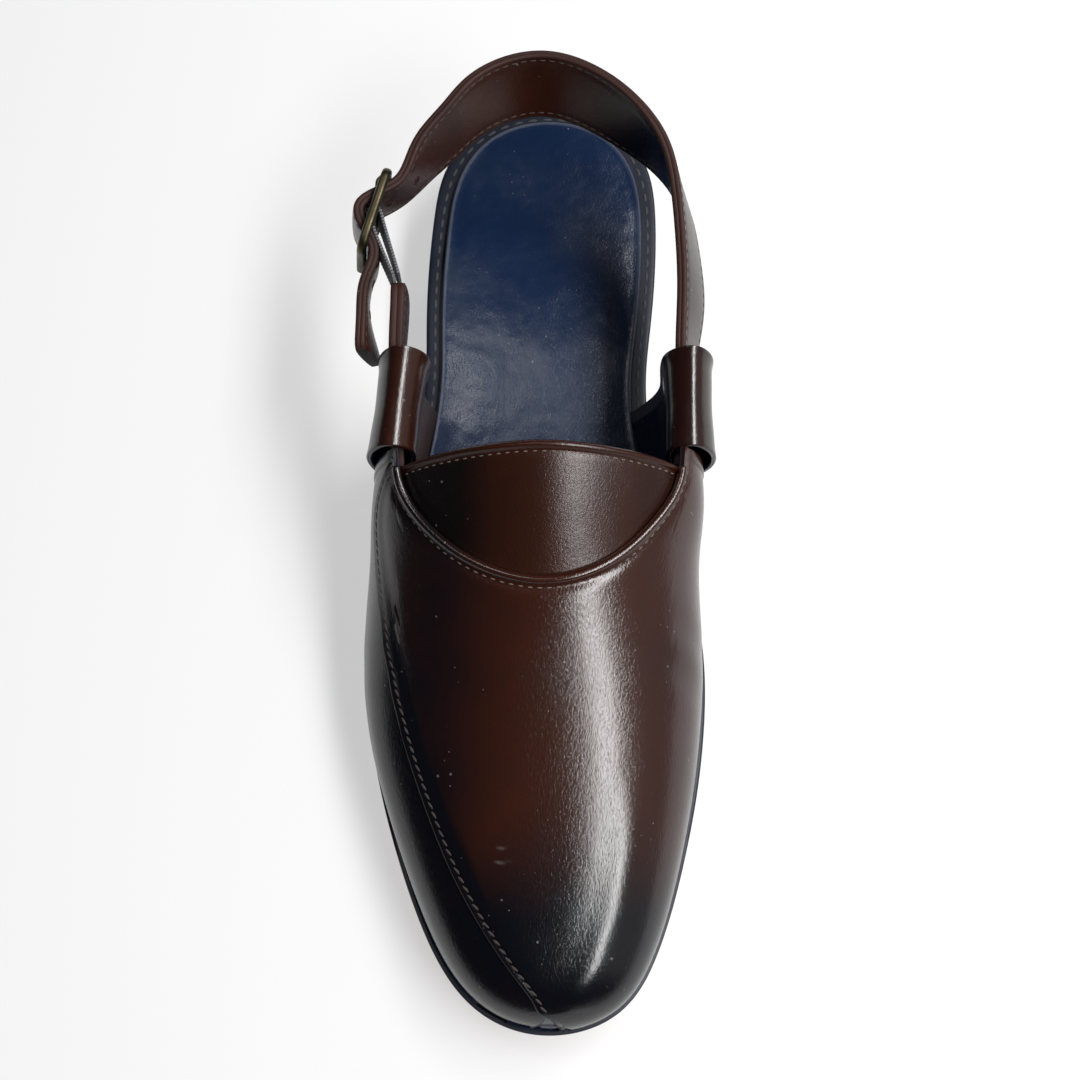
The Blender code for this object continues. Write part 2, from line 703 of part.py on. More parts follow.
def make_buckle(parts, cutters):
    """Three-bar brass buckle, and the prong from its middle bar over its rear bar."""
    half_length = BUCKLE_LENGTH / 2 - BUCKLE_ROD
    half_height = BUCKLE_HEIGHT / 2 - BUCKLE_ROD
    ring = []
    for turn, a, u in ((0, 1, 1), (1, -1, 1), (2, -1, -1), (3, 1, -1)):
        for angle in np.radians(np.linspace(0, 90, 4)) + turn * math.pi / 2:
            ring.append(in_buckle(a * (half_length - BUCKLE_CORNER) + BUCKLE_CORNER * math.cos(angle),
                                  u * (half_height - BUCKLE_CORNER) + BUCKLE_CORNER * math.sin(angle),
                                  0))
    frame = rod("buckle_frame", ring, BUCKLE_ROD, old_brass(), parts, closed=True)
    bar_line = [in_buckle(0, -half_height, 0), in_buckle(0, half_height, 0)]
    cut(frame, rod("buckle_bar", bar_line, BUCKLE_BAR, old_brass(), cutters), "UNION")
    rod("buckle_prong", [in_buckle(*point) for point in PRONG_POINTS], PRONG_ROD, old_brass(), parts)


def make_elastic(parts):
    """Elastic web, doubled round the buckle's middle bar and held at the side strap's end."""
    bar = np.array(BUCKLE_MIDDLE)
    up_bar = np.array(buckle_axes()[1])
    start = np.array([SIDE_STRAP[name][-1] for name in ("side", "station", "height")])
    towards = bar - start
    towards -= (towards @ up_bar) * up_bar
    towards /= np.linalg.norm(towards)
    start = start + ELASTIC_START * towards
    aside = np.cross(towards, up_bar)
    around_bar = BUCKLE_BAR + CLEARANCE + ELASTIC_THICKNESS / 2
    turn = np.radians(np.linspace(-90, 90, 9))[:, None]
    wrap = bar + around_bar * (np.cos(turn) * towards + np.sin(turn) * aside)
    share = np.linspace(0, 1, 6)[:-1, None]
    layer = (ELASTIC_HALF_GAP + ELASTIC_THICKNESS / 2) * aside
    out = start - layer + share * (wrap[0] - start + layer)
    back = (start + layer + share * (wrap[-1] - start - layer))[::-1]
    middle = np.concatenate([out, wrap, back])
    share = np.concatenate([share, np.ones((len(wrap), 1)), share[::-1]])
    up = (share * up_bar + (1 - share) * np.array([0, 0, 1.0])) * ELASTIC_WIDTH / 2
    strip("elastic_tab", middle, up, ELASTIC_THICKNESS, black_elastic(), parts)


def build():
    for old in list(bpy.data.objects):
        bpy.data.objects.remove(old)
    parts = bpy.data.collections.new(NAME)
    cutters = bpy.data.collections.new("cutters")
    for collection in (parts, cutters):
        bpy.context.scene.collection.children.link(collection)
    make_outsole(parts, cutters)
    make_forefoot_pad(parts)
    make_heel(parts, cutters)
    make_insole(parts)
    make_upper(parts)
    make_tongue(parts)
    make_loop("lateral_loop", OUTER_LOOP, -1, OUTER_LOOP_SPLAY, parts)
    make_loop("medial_loop", INNER_LOOP, 1, INNER_LOOP_SPLAY, parts)
    make_straps(parts, cutters)
    make_buckle(parts, cutters)
    make_elastic(parts)


build()
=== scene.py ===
"""The looks of a right peshawari chappal: brown closed toe, navy insole, red sole, buckled strap.

Sizes are in millimetres. Side runs across the shoe, with the outer side negative; station is the
distance from the toe tip towards the heel; height is over the floor.
"""
import math

import bmesh
import bpy
import numpy as np
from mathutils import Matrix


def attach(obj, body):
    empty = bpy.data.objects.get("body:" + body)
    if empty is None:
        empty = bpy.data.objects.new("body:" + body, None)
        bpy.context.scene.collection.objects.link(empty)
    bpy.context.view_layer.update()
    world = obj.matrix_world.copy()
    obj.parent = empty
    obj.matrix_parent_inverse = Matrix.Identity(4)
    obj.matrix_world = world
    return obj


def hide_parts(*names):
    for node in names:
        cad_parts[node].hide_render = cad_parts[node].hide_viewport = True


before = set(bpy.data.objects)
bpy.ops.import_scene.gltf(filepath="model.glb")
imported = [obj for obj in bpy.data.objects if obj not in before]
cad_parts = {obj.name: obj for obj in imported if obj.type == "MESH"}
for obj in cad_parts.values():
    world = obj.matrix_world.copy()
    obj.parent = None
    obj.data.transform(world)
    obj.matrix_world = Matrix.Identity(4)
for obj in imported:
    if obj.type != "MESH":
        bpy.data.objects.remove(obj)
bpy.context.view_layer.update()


# ---- Outsole ----------------------------------------------------------------------------------
# One moulding of red rubber from the toe to the heel seat. Its edge and its upper face are painted
# navy black. A running hook pattern is sunk into the underside, and the forefoot has a recess.
MM = 0.001
SOLE_LENGTH = 300.0
BOX_MIDDLE_X = -2.93
BALL_STATION, BALL_HALF_WIDTH = 108.0, 53.0
WAIST_STATION, WAIST_HALF_WIDTH = 180.0, 36.0
SEAT_HEIGHT = 17.0
PAD_PROUD = 0.5
RECESS_DEPTH = 1.9
PAD_CENTRE = (-1.5, 85.0)
HOOK_FRONT, HOOK_BACK, HOOK_LINE = 3.2, 10.9, 6.7
HOOK_REAR_STATION = 213.0
HOOK_PITCH = 5.7
HOOK_DEPTH = 0.55
HOOK_WALL = (-0.12, 0.22)
# The hooks are on a slab in a slot: where both end behind the hooks, and how deep they are
SLOT_REAR_STATION, SLAB_REAR_STATION = 218.0, 224.0
SLAB_THICKNESS, SLAB_SINK, SLOT_DEPTH = 1.0, 0.05, 1.2
SPINE_INSET = 25.0
RECESS_GAP = 0.3
FULL_TURN = 2 * math.pi


def table(columns, *rows):
    """A short table as arrays, one for each named column."""
    return dict(zip(columns, np.array(rows, float).T))


OUTLINE = table(
    ("station", "half_width", "middle"),
    (0.0, 0.0, 2.6), (5.8, 19.4, 2.7), (13.5, 27.2, 2.2), (21.0, 31.8, 1.7), (35.7, 38.2, 1.0),
    (50.0, 43.0, 0.4), (70.0, 48.3, -0.3), (89.0, 51.6, -0.9), (108.0, 52.9, -1.4),
    (126.0, 51.6, -1.9), (143.0, 47.8, -2.2), (160.0, 42.3, -2.3), (178.0, 38.2, -2.1),
    (200.0, 36.0, -1.4), (218.0, 36.9, -0.5), (240.0, 37.8, 0.7), (258.0, 37.5, 1.6),
    (274.5, 35.5, 2.2), (285.0, 30.9, 2.6), (295.7, 19.0, 2.9), (SOLE_LENGTH, 0.0, 3.0))
PROFILE = table(
    ("station", "bottom", "top"),
    (0.0, 12.0, 18.0), (20.0, 8.4, 14.6), (50.0, 3.4, 10.0), (75.0, 0.9, 7.9), (92.0, 0.3, 7.4),
    (118.0, 0.3, 7.4), (135.0, 1.5, 8.4), (155.0, 5.3, 11.9), (180.0, 11.2, 17.2),
    (204.0, 16.0, 21.1), (214.0, 17.4, 22.1), (228.0, 18.4, 22.8), (260.0, 19.0, 23.1),
    (SOLE_LENGTH, 19.0, 23.6))
PAD = table(
    ("station", "half_width", "middle"),
    (12.2, 0.0, 1.0), (17.4, 13.8, 0.8), (22.6, 18.6, 0.6), (32.8, 24.4, 0.2), (42.8, 28.5, -0.5),
    (61.9, 33.4, -1.3), (80.3, 37.3, -2.0), (98.0, 40.0, -2.8), (108.8, 40.5, -3.2),
    (119.5, 39.0, -3.7), (128.0, 36.0, -4.1), (135.9, 30.4, -4.4), (141.5, 22.4, -4.5),
    (144.6, 14.4, -4.4), (146.5, 0.0, -4.3))
PAD_FRONT, PAD_REAR, PAD_SHOULDER = 12.2, 146.5, 20.0
# The sole's edge from its upper face round to its underside: the distance in from the edge, the
# face that the height is counted from (1 upper, 0 under), the offset from it, and the black paint
EDGE = table(
    ("inset", "face", "offset", "paint"),
    (SPINE_INSET, 1, 0.0, 1), (8.0, 1, 0.0, 1), (2.0, 1, 0.0, 1), (0.9, 1, 0.0, 1), (0.35, 1, -0.12, 1),
    (0.1, 1, -0.38, 1), (0.0, 1, -0.9, 1), (0.0, 1, -1.5, 1), (0.3, 1, -1.75, 1),
    (0.0, 1, -2.0, 1), (0.0, 0, 2.6, 1), (0.0, 0, 0.9, 1), (0.1, 0, 0.38, 1), (0.35, 0, 0.12, 0.7),
    (0.9, 0, 0.0, 0), (HOOK_FRONT, 0, 0.0, 0), (HOOK_FRONT, 0, SLOT_DEPTH, 0),
    (HOOK_BACK, 0, SLOT_DEPTH, 0), (HOOK_BACK, 0, 0.0, 0))
# One wave of the hook pattern's outer edge; its inner edge is the same line turned half round
HOOK_EDGE = table(
    ("along", "across"),
    (0.0, 0.0), (0.5, -0.6), (0.55, -1.2), (0.1, -1.75), (-0.5, -1.85), (-0.95, -1.55),
    (-1.05, -1.0), (-1.35, -1.05), (-1.45, -1.65), (-1.15, -2.15), (-0.55, -2.45), (0.2, -2.45),
    (1.05, -2.05), (2.5, -1.15), (4.0, -0.3), (5.1, 0.05))
HOOK_TURN_CENTRE = (3.7, 0.4)


def spline(x, knots, values):
    """Natural cubic spline through values at the knots, read at x; values may have columns."""
    knots = np.asarray(knots, float)
    values = np.asarray(values, float)
    flat = values.reshape(len(knots), -1)
    step = np.diff(knots)
    slope = np.diff(flat, axis=0) / step[:, None]
    matrix = np.eye(len(knots))
    right = np.zeros_like(flat)
    for i in range(1, len(knots) - 1):
        matrix[i, i - 1:i + 2] = step[i - 1], 2 * (step[i - 1] + step[i]), step[i]
        right[i] = 6 * (slope[i] - slope[i - 1])
    bend = np.linalg.solve(matrix, right)
    x = np.asarray(x, float)
    i = np.clip(np.searchsorted(knots, x) - 1, 0, len(knots) - 2)
    width = step[i][..., None]
    a = (knots[i + 1] - x)[..., None] / width
    b = 1 - a
    curve = a * flat[i] + b * flat[i + 1]
    curve += ((a**3 - a) * bend[i] + (b**3 - b) * bend[i + 1]) * width**2 / 6
    return curve.reshape(x.shape + values.shape[1:])


def smoothstep(low, high, x):
    """0 below low and 1 above high, with a soft turn at both."""
    share = np.clip((x - low) / (high - low), 0, 1)
    return share * share * (3 - 2 * share)


def end_angle(station, front, rear):
    """Turns stations into an angle, 0 to pi, so that a width can close round at both ends."""
    share = (np.asarray(station, float) - front) / (rear - front)
    return np.arccos(np.clip(1 - 2 * share, -1, 1))


def outline(station, inset=0.0, ends=None):
    """Half width and middle of the sole's outline, moved in by inset and closed round at ends."""
    ends = inset if ends is None else ends
    angle = end_angle(station, ends, SOLE_LENGTH - ends)
    knots = end_angle(OUTLINE["station"], 0, SOLE_LENGTH)
    half = np.maximum(spline(angle, knots, OUTLINE["half_width"]), 0)
    full_width = np.interp(station, (BALL_STATION, WAIST_STATION), (BALL_HALF_WIDTH, WAIST_HALF_WIDTH))
    return half - inset * np.minimum(half / full_width, 1), spline(angle, knots, OUTLINE["middle"])


def pad_outline(station, grow=0.0):
    """Half width and middle of the forefoot pad's egg shape."""
    knots = end_angle(PAD["station"], PAD_FRONT, PAD_REAR)
    angle = end_angle(station, PAD_FRONT - grow, PAD_REAR + grow)
    half = np.maximum(spline(angle, knots, PAD["half_width"]), 0)
    return half + grow * np.minimum(half / PAD_SHOULDER, 1), spline(angle, knots, PAD["middle"])


def sole_bottom(station):
    """Height of the underside: toe spring, flat tread, arch and flat heel seat."""
    return np.clip(spline(station, PROFILE["station"], PROFILE["bottom"]), PAD_PROUD, SEAT_HEIGHT)


def sole_top(station):
    """Height of the outsole's upper face."""
    return spline(station, PROFILE["station"], PROFILE["top"])


def joined(*parts):
    """Arrays or single values put side by side as the last axis."""
    return np.stack(np.broadcast_arrays(*parts), axis=-1)


def closed_ring(turn, front, rear, half_and_middle):
    """Points (side, station) round a closed outline; turn runs from the toe up the inner side.

    The station follows the cosine of turn, and the half width is added on the inner side and
    taken off on the outer side.
    """
    station = front + (rear - front) * (1 - np.cos(turn)) / 2
    half, middle = half_and_middle(station)
    return joined(middle + np.sign(np.sin(turn)) * half, station)


def sole_ring(turn, inset):
    """The sole's outline at an inset from its edge."""
    return closed_ring(turn, inset, SOLE_LENGTH - inset, lambda station: outline(station, inset))


def sole_spine(turn, inset):
    """The same ring pressed flat onto the sole's middle line, which closes a face there."""
    flat = sole_ring(turn, inset)
    flat[:, 0] = spline(flat[:, 1], OUTLINE["station"], OUTLINE["middle"])
    return flat


def pad_ring(turn, grow=0.0):
    """The forefoot pad's outline, or one that is larger by grow all round."""
    return closed_ring(turn, PAD_FRONT - grow, PAD_REAR + grow,
                       lambda station: pad_outline(station, grow))


def lifted(surface, flat, rise):
    """Plan points lifted to a distance over one of the sole's surfaces."""
    return joined(flat[:, 0], flat[:, 1], surface(flat[:, 1]) + rise)


def path_length(points):
    """Distance along a line of points."""
    return np.concatenate([[0], np.cumsum(np.linalg.norm(np.diff(points, axis=0), axis=1))])


def to_metres(points):
    """Points (side, station, height) in millimetres as points of the shoe's frame in metres."""
    return (points - np.array([BOX_MIDDLE_X, SOLE_LENGTH / 2, 0.0])) * MM


def grid_faces(rows, columns):
    """Quads between the points of a grid that is stored row after row."""
    i, j = np.meshgrid(np.arange(rows - 1), np.arange(columns - 1), indexing="ij")
    first = i * columns + j
    return joined(first, first + 1, first + columns + 1, first + columns).reshape(-1, 4)


def add_piece(name, points, faces, finish, replaced, slot,
              sharp=35, closed=True, weld=0.000002, **attributes):
    """Makes one mesh from arrays, welds it, turns it outwards and parents it to the root body."""
    mesh = bpy.data.meshes.new(name)
    mesh.from_pydata(to_metres(points).tolist(), [], faces.tolist())
    for title, values in attributes.items():
        layer = mesh.attributes.new(title, "FLOAT", "POINT")
        layer.data.foreach_set("value", np.ravel(values).astype(np.float32))
    bm = bmesh.new()
    bm.from_mesh(mesh)
    bmesh.ops.remove_doubles(bm, verts=bm.verts, dist=weld)
    bmesh.ops.dissolve_degenerate(bm, edges=bm.edges, dist=0.0000001)
    if closed and bm.calc_volume(signed=True) < 0:
        bmesh.ops.reverse_faces(bm, faces=bm.faces)
    bm.to_mesh(mesh)
    bm.free()
    mesh.shade_smooth()
    mesh.set_sharp_from_angle(angle=math.radians(sharp))
    mesh.materials.append(finish)
    piece = bpy.data.objects.new(name, mesh)
    bpy.context.scene.collection.objects.link(piece)
    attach(piece, "root")
    if replaced:
        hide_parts(replaced)
    return piece


def add_surface(name, points, finish, replaced, slot, sharp=35, **attributes):
    """A piece from one grid of points, rows by columns by three."""
    rows, columns, _ = points.shape
    full = {title: np.broadcast_to(values, (rows, columns)) for title, values in attributes.items()}
    return add_piece(name, points.reshape(-1, 3), grid_faces(rows, columns), finish, replaced, slot,
                     sharp, **full)


class Finish:
    """A material and its nodes; what is the same all over is set on the shader's own sockets."""

    def __init__(self, name, **sockets):
        self.material = bpy.data.materials.new(name)
        self.material.use_nodes = True
        self.tree = self.material.node_tree
        self.shader = self.tree.nodes["Principled BSDF"]
        self.places = {}
        for socket, value in sockets.items():
            self.shader.inputs[socket.replace("_", " ")].default_value = value

    def node(self, kind, sockets, **settings):
        """A node with its settings; a socket takes a number, a colour or another node's output."""
        made = self.tree.nodes.new("ShaderNode" + kind)
        for name, value in settings.items():
            setattr(made, name, value)
        for key, value in sockets.items():
            if isinstance(value, bpy.types.NodeSocket):
                self.tree.links.new(value, made.inputs[key])
            else:
                made.inputs[key].default_value = value
        return made

    def where(self, stretch=(1, 1, 1)):
        """Object coordinates, which are metres in the shoe's frame, stretched along its axes."""
        if stretch not in self.places:
            origin = self.node("TexCoord", {}).outputs["Object"]
            mapping = self.node("Mapping", {"Vector": origin, "Scale": stretch})
            self.places[stretch] = mapping.outputs["Vector"]
        return self.places[stretch]

    def noise(self, scale, detail, stretch=(1, 1, 1), **more):
        """Clouds of a size: scale is how many there are to a metre."""
        sockets = {"Vector": self.where(stretch), "Scale": scale, "Detail": detail, **more}
        return self.node("TexNoise", sockets).outputs["Fac"]

    def cells(self, scale):
        """Distance from the middle of the nearest cell."""
        return self.node("TexVoronoi", {"Vector": self.where(), "Scale": scale}).outputs["Distance"]

    def attribute(self, name):
        """A value that the mesh holds at its points."""
        return self.node("Attribute", {}, attribute_name=name).outputs["Fac"]

    def math(self, operation, first, second):
        """Two values put together."""
        return self.node("Math", {0: first, 1: second}, operation=operation).outputs[0]

    def spread(self, value, low, high, to_low=0.0, to_high=1.0):
        """A value taken from one range to another and held there."""
        sockets = {"Value": value, "From Min": low, "From Max": high, "To Min": to_low, "To Max": to_high}
        return self.node("MapRange", sockets).outputs["Result"]

    def blend(self, share, first, second):
        """A colour that goes from first to second as share goes from 0 to 1."""
        first, second = ((*part, 1) if isinstance(part, tuple) else part for part in (first, second))
        return self.node("Mix", {0: share, 6: first, 7: second}, data_type="RGBA").outputs[2]

    def bump(self, height, strength, depth, **more):
        """Relief of a depth in millimetres."""
        sockets = {"Height": height, "Strength": strength, "Distance": depth * MM, **more}
        return self.node("Bump", sockets).outputs["Normal"]

    def dress(self, **sockets):
        """Connects outputs to the shader's sockets and gives the finished material."""
        for socket, output in sockets.items():
            self.tree.links.new(output, self.shader.inputs[socket.replace("_", " ")])
        return self.material


def mould_rubber(name, colour, shade, streak, paint_colour):
    """Moulded rubber: a cloudy colour, a fine pitted skin, and paint where the attribute says."""
    finish = Finish(name, Specular_IOR_Level=0.32)
    clouds, streaks = finish.noise(24.0, 5.0), finish.noise(260.0, 3.0, stretch=(1, 0.12, 1))
    fine = finish.noise(2400.0, 2.0)
    rubber = finish.blend(finish.spread(clouds, 0.35, 0.7), colour, shade)
    rubber = finish.blend(finish.spread(streaks, 0.62, 0.8, 0.0, 0.35), rubber, streak)
    ragged = finish.math("ADD", finish.attribute("paint"), finish.spread(fine, 0.3, 0.7, -0.12, 0.12))
    painted = finish.blend(finish.spread(ragged, 0.35, 0.6), rubber, paint_colour)
    return finish.dress(Base_Color=painted, Roughness=finish.spread(clouds, 0.3, 0.7, 0.36, 0.5),
                        Normal=finish.bump(fine, 0.25, 0.06))


def hook_tile(step=0.1):
    """Depth of the hook pattern over one pitch, on a grid of along by across.

    The waves' two edges make one long band. The depth is 0 outside it and grows with the distance
    to its nearest edge until the floor is reached. A spot lies in the band if a line from it
    crosses the edges an odd number of times.
    """
    wave = joined(*HOOK_EDGE.values())
    outer = np.concatenate([wave + (k * HOOK_PITCH, 0) for k in range(-3, 5)])
    length = path_length(outer)
    outer = spline(np.linspace(0, length[-1], 5 * len(outer)), length, outer)
    start = np.concatenate([outer, 2 * np.array(HOOK_TURN_CENTRE) - outer])
    run = np.roll(start, -1, axis=0) - start
    end = start + run
    along = np.arange(0, HOOK_PITCH, step)
    across = np.arange(HOOK_FRONT - HOOK_LINE - step, HOOK_BACK - HOOK_LINE + 2 * step, step)
    spots = joined(along[:, None], across)[:, :, None]
    share = np.clip(np.sum((spots - start) * run, axis=-1) / np.sum(run * run, axis=-1), 0, 1)
    distance = np.linalg.norm(spots - start - share[..., None] * run, axis=-1).min(axis=-1)
    low, high = np.minimum(start[:, 1], end[:, 1]), np.maximum(start[:, 1], end[:, 1])
    height = np.where(run[:, 1] == 0, 1, run[:, 1])
    crossing = start[:, 0] + (spots[..., 1] - start[:, 1]) * run[:, 0] / height
    passed = (spots[..., 1] >= low) & (spots[..., 1] < high) & (crossing > spots[..., 0])
    inside = passed.sum(axis=-1) % 2 == 1
    return across[0], step, HOOK_DEPTH * smoothstep(*HOOK_WALL, np.where(inside, distance, -distance))


def read_tile(tile, along, across):
    """The tile's depth at any place, straight between its points and repeated along."""
    first, step, depth = tile
    i = np.mod(along, HOOK_PITCH) / HOOK_PITCH * len(depth)
    j = np.clip((across - first) / step, 0, depth.shape[1] - 1.001)
    i0, j0 = i.astype(int) % len(depth), j.astype(int)
    fi, fj = i - np.floor(i), j - j0
    near, far = (depth[k, j0] * (1 - fj) + depth[k, j0 + 1] * fj for k in (i0, (i0 + 1) % len(depth)))
    return near * (1 - fi) + far * fi


def pad_bearing(flat):
    """Direction of plan points from the pad's centre, as an angle that never jumps."""
    towards = flat - PAD_CENTRE
    return np.unwrap(np.arctan2(towards[:, 0], -towards[:, 1]))


def outsole_rows(count=720):
    """The outsole as one closed grid: spine, upper face, edge, underside, pad recess, spine."""
    turn = np.linspace(0, FULL_TURN, count)
    rows, paint = [lifted(sole_top, sole_spine(turn, SPINE_INSET), 0)], [1]
    for inset, face, offset, painted in zip(*EDGE.values()):
        flat = sole_ring(turn, inset)
        if offset == SLOT_DEPTH:
            offset = offset * smoothstep(SLOT_REAR_STATION + 1, SLOT_REAR_STATION, flat[:, 1])
        rows.append(lifted(sole_top if face else sole_bottom, flat, offset))
        paint.append(painted)
    border = sole_ring(turn, HOOK_BACK)
    pad_turn = np.linspace(0, FULL_TURN, 4 * count)
    pad_angle = pad_bearing(pad_ring(pad_turn, RECESS_GAP))
    angle = pad_angle[0] + (pad_bearing(border) - pad_angle[0]) % FULL_TURN
    matched = pad_ring(np.interp(angle, pad_angle, pad_turn), RECESS_GAP)
    rows += [lifted(sole_bottom, border + (matched - border) * share, 0)
             for share in np.linspace(0, 1, 12)[1:]]
    rows.append(lifted(sole_bottom, matched, RECESS_DEPTH))
    rows.append(lifted(sole_bottom, matched, RECESS_DEPTH))
    rows[-1][:, 0] = PAD_CENTRE[0]
    paint += [0] * (len(rows) - len(paint))
    return np.array(rows), np.array(paint)[:, None]


def hook_border(count=2200, rows=31):
    """The band of the underside that carries the hooks, as a closed slab.

    Rows lie at even insets from the sole's edge and columns run round the toe from breast to
    breast; the pattern's depth is read by the length along the hook line.
    """
    end = math.acos(1 - 2 * SLAB_REAR_STATION / SOLE_LENGTH)
    turn = np.linspace(-end, end, count)
    along = path_length(sole_ring(turn, HOOK_LINE))
    along = -(along - along[-1] / 2)
    insets = np.linspace(HOOK_FRONT, HOOK_BACK, rows)
    tile = hook_tile()
    grid = []
    for inset in insets:
        flat = sole_ring(turn, inset)
        depth = read_tile(tile, along, np.full(count, inset - HOOK_LINE))
        depth *= smoothstep(HOOK_REAR_STATION, HOOK_REAR_STATION - 2, flat[:, 1])
        depth += SLAB_SINK * smoothstep(SLOT_REAR_STATION, SLOT_REAR_STATION + 1, flat[:, 1])
        grid.append(lifted(sole_bottom, flat, depth))
    grid += [lifted(sole_bottom, sole_ring(turn, inset), SLAB_THICKNESS) for inset in insets[::-10]]
    return np.array(grid + grid[:1])


sole_red = mould_rubber("red_moulded_rubber", (0.47, 0.055, 0.053), (0.38, 0.038, 0.040),
                        streak=(0.62, 0.16, 0.15), paint_colour=(0.004, 0.006, 0.014))
points, paint = outsole_rows()
add_surface("outsole_moulding", points, sole_red, "outsole", "red_sole", paint=paint)
add_surface("hook_border", hook_border(), sole_red, None, "red_sole", sharp=60, paint=0.0)


# ---- Forefoot pad -----------------------------------------------------------------------------
# Black rubber tread pressed with a woven pattern of sunk cells, let into the sole's recess. A
# raised double rim runs round it.
PAD_CELL = 2.7
# Where the lines of one cell lie: two on its ridge and two on its sunk floor
PAD_LINES = np.array((0.0, 0.75, 1.0, 2.45))
PAD_TURN = math.radians(-6)
PAD_CELL_DEPTH = 0.75
# How far the tread stands under the sole, where it ends inside the rim, and its back's thickness
PAD_FACE, PAD_TREAD_GROW, PAD_TREAD_BACK = 0.3, -1.7, 0.8
# Nine cells of one block; cells with the same number have no ridge between them
PAD_BLOCK = np.array(((0, 1, 1), (2, 3, 1), (2, 2, 4)))
PAD_RIM = table(
    ("grow", "offset"),
    (0.0, 1.2), (0.0, -0.2), (-0.12, -0.42), (-0.35, -0.5), (-0.65, -0.5), (-0.85, -0.38),
    (-0.95, -0.2), (-1.1, -0.2), (-1.2, -0.4), (-1.4, -0.55), (-1.7, -0.55), (-1.9, -0.42),
    (-2.0, -0.2), (-2.0, 0.8), (0.0, 1.2))


def black_rubber_finish(name):
    """Black rubber, dulled by clouds of grey dust, with red bits by the attribute."""
    finish = Finish(name, Specular_IOR_Level=0.35)
    dust, fine = finish.noise(45.0, 6.0), finish.noise(3000.0, 2.0)
    colour = finish.blend(finish.spread(dust, 0.45, 0.8), (0.012, 0.011, 0.014), (0.045, 0.037, 0.045))
    ragged = finish.math("ADD", finish.attribute("bits"), finish.spread(dust, 0.35, 0.65, -0.5, 0.35))
    colour = finish.blend(finish.spread(ragged, 0.7, 0.9), colour, (0.22, 0.03, 0.035))
    return finish.dress(Base_Color=colour, Roughness=finish.spread(dust, 0.3, 0.7, 0.45, 0.65),
                        Normal=finish.bump(fine, 0.4, 0.05))


def clip_to_ring(flat, ring, centre):
    """Pulls points that lie outside a ring straight in to it, and tells which ones they were."""
    away = ring - centre
    angle = np.arctan2(away[:, 1], away[:, 0])
    order = np.argsort(angle)
    offset = flat - centre
    reach = np.interp(np.arctan2(offset[:, 1], offset[:, 0]), angle[order],
                      np.linalg.norm(away, axis=1)[order], period=FULL_TURN)
    radius = np.linalg.norm(offset, axis=1)
    outside = radius > reach
    share = np.where(outside, reach / np.maximum(radius, 1e-6), 1)
    return centre + offset * share[:, None], outside


def turned_lattice(a, b, turn, centre):
    """Plan points at distances a and b along two square directions, turned about a centre."""
    side = centre[0] + a * math.cos(turn) - b * math.sin(turn)
    station = centre[1] + a * math.sin(turn) + b * math.cos(turn)
    return joined(side, station)


def add_tread(name, node, lattice, depth, rim_depth, ring, centre, under, bits, back):
    """A tread of low and high corners, clipped to a ring, with a back of a given thickness.

    A corner lies at the height of the surface under it plus its depth, or rim_depth on the ring.
    The quads are turned to face the floor, which they do if their area in plan is negative.
    """
    faces = grid_faces(*depth.shape)
    flat, outside = clip_to_ring(lattice.reshape(-1, 2), ring, np.array(centre))
    faces = faces[~outside[faces].all(axis=1)]
    a, b, c = (flat[faces[:, k]] for k in (0, 1, 2))
    area = np.sum((b - a)[:, 0] * (c - b)[:, 1] - (b - a)[:, 1] * (c - b)[:, 0])
    height = under(flat[:, 1]) + np.where(outside, rim_depth, depth.ravel())
    tread = add_piece(name, joined(flat[:, 0], flat[:, 1], height), faces[:, ::-1] if area > 0 else faces,
                      black_tread, node, "black_rubber", closed=False, bits=bits(flat))
    wall = tread.modifiers.new("back", "SOLIDIFY")
    wall.thickness = back * MM
    wall.offset = -1


def pad_lattice(columns=34, rows=56):
    """The woven pattern: a lattice whose lines run along the cells' own edges.

    A corner of the lattice is sunk if it lies in a cell, or on a ridge between two cells of the
    same shape. Every second block of three by three cells is the mirror of its neighbours.
    """
    i, j = np.arange(columns), np.arange(rows)
    block = np.add.outer(j // 3, i // 3)
    mirrored = np.where(block % 2, 2 - i % 3, i % 3)
    shape = PAD_BLOCK[np.broadcast_to((j % 3)[:, None], block.shape), mirrored]
    shape = shape + 5 * ((j // 3)[:, None] * columns + i // 3)
    ridge = np.array((True, True, False, False))
    across, along = np.tile(ridge, columns), np.tile(ridge, rows)
    cell_i, cell_j = np.repeat(i, 4), np.repeat(j, 4)
    same_i, same_j = shape == np.roll(shape, 1, axis=1), shape == np.roll(shape, 1, axis=0)
    sunk = np.ones((len(along), len(across)), bool)
    sunk[:, across] = same_i[np.ix_(cell_j, cell_i[across])]
    sunk[np.ix_(along, ~across)] = same_j[np.ix_(cell_j[along], cell_i[~across])]
    sunk[np.ix_(along, across)] = False
    a, b = (cell * PAD_CELL + np.tile(PAD_LINES, count) - count * PAD_CELL / 2
            for cell, count in ((cell_i, columns), (cell_j, rows)))
    return turned_lattice(a, b[:, None], PAD_TURN, PAD_CENTRE), sunk


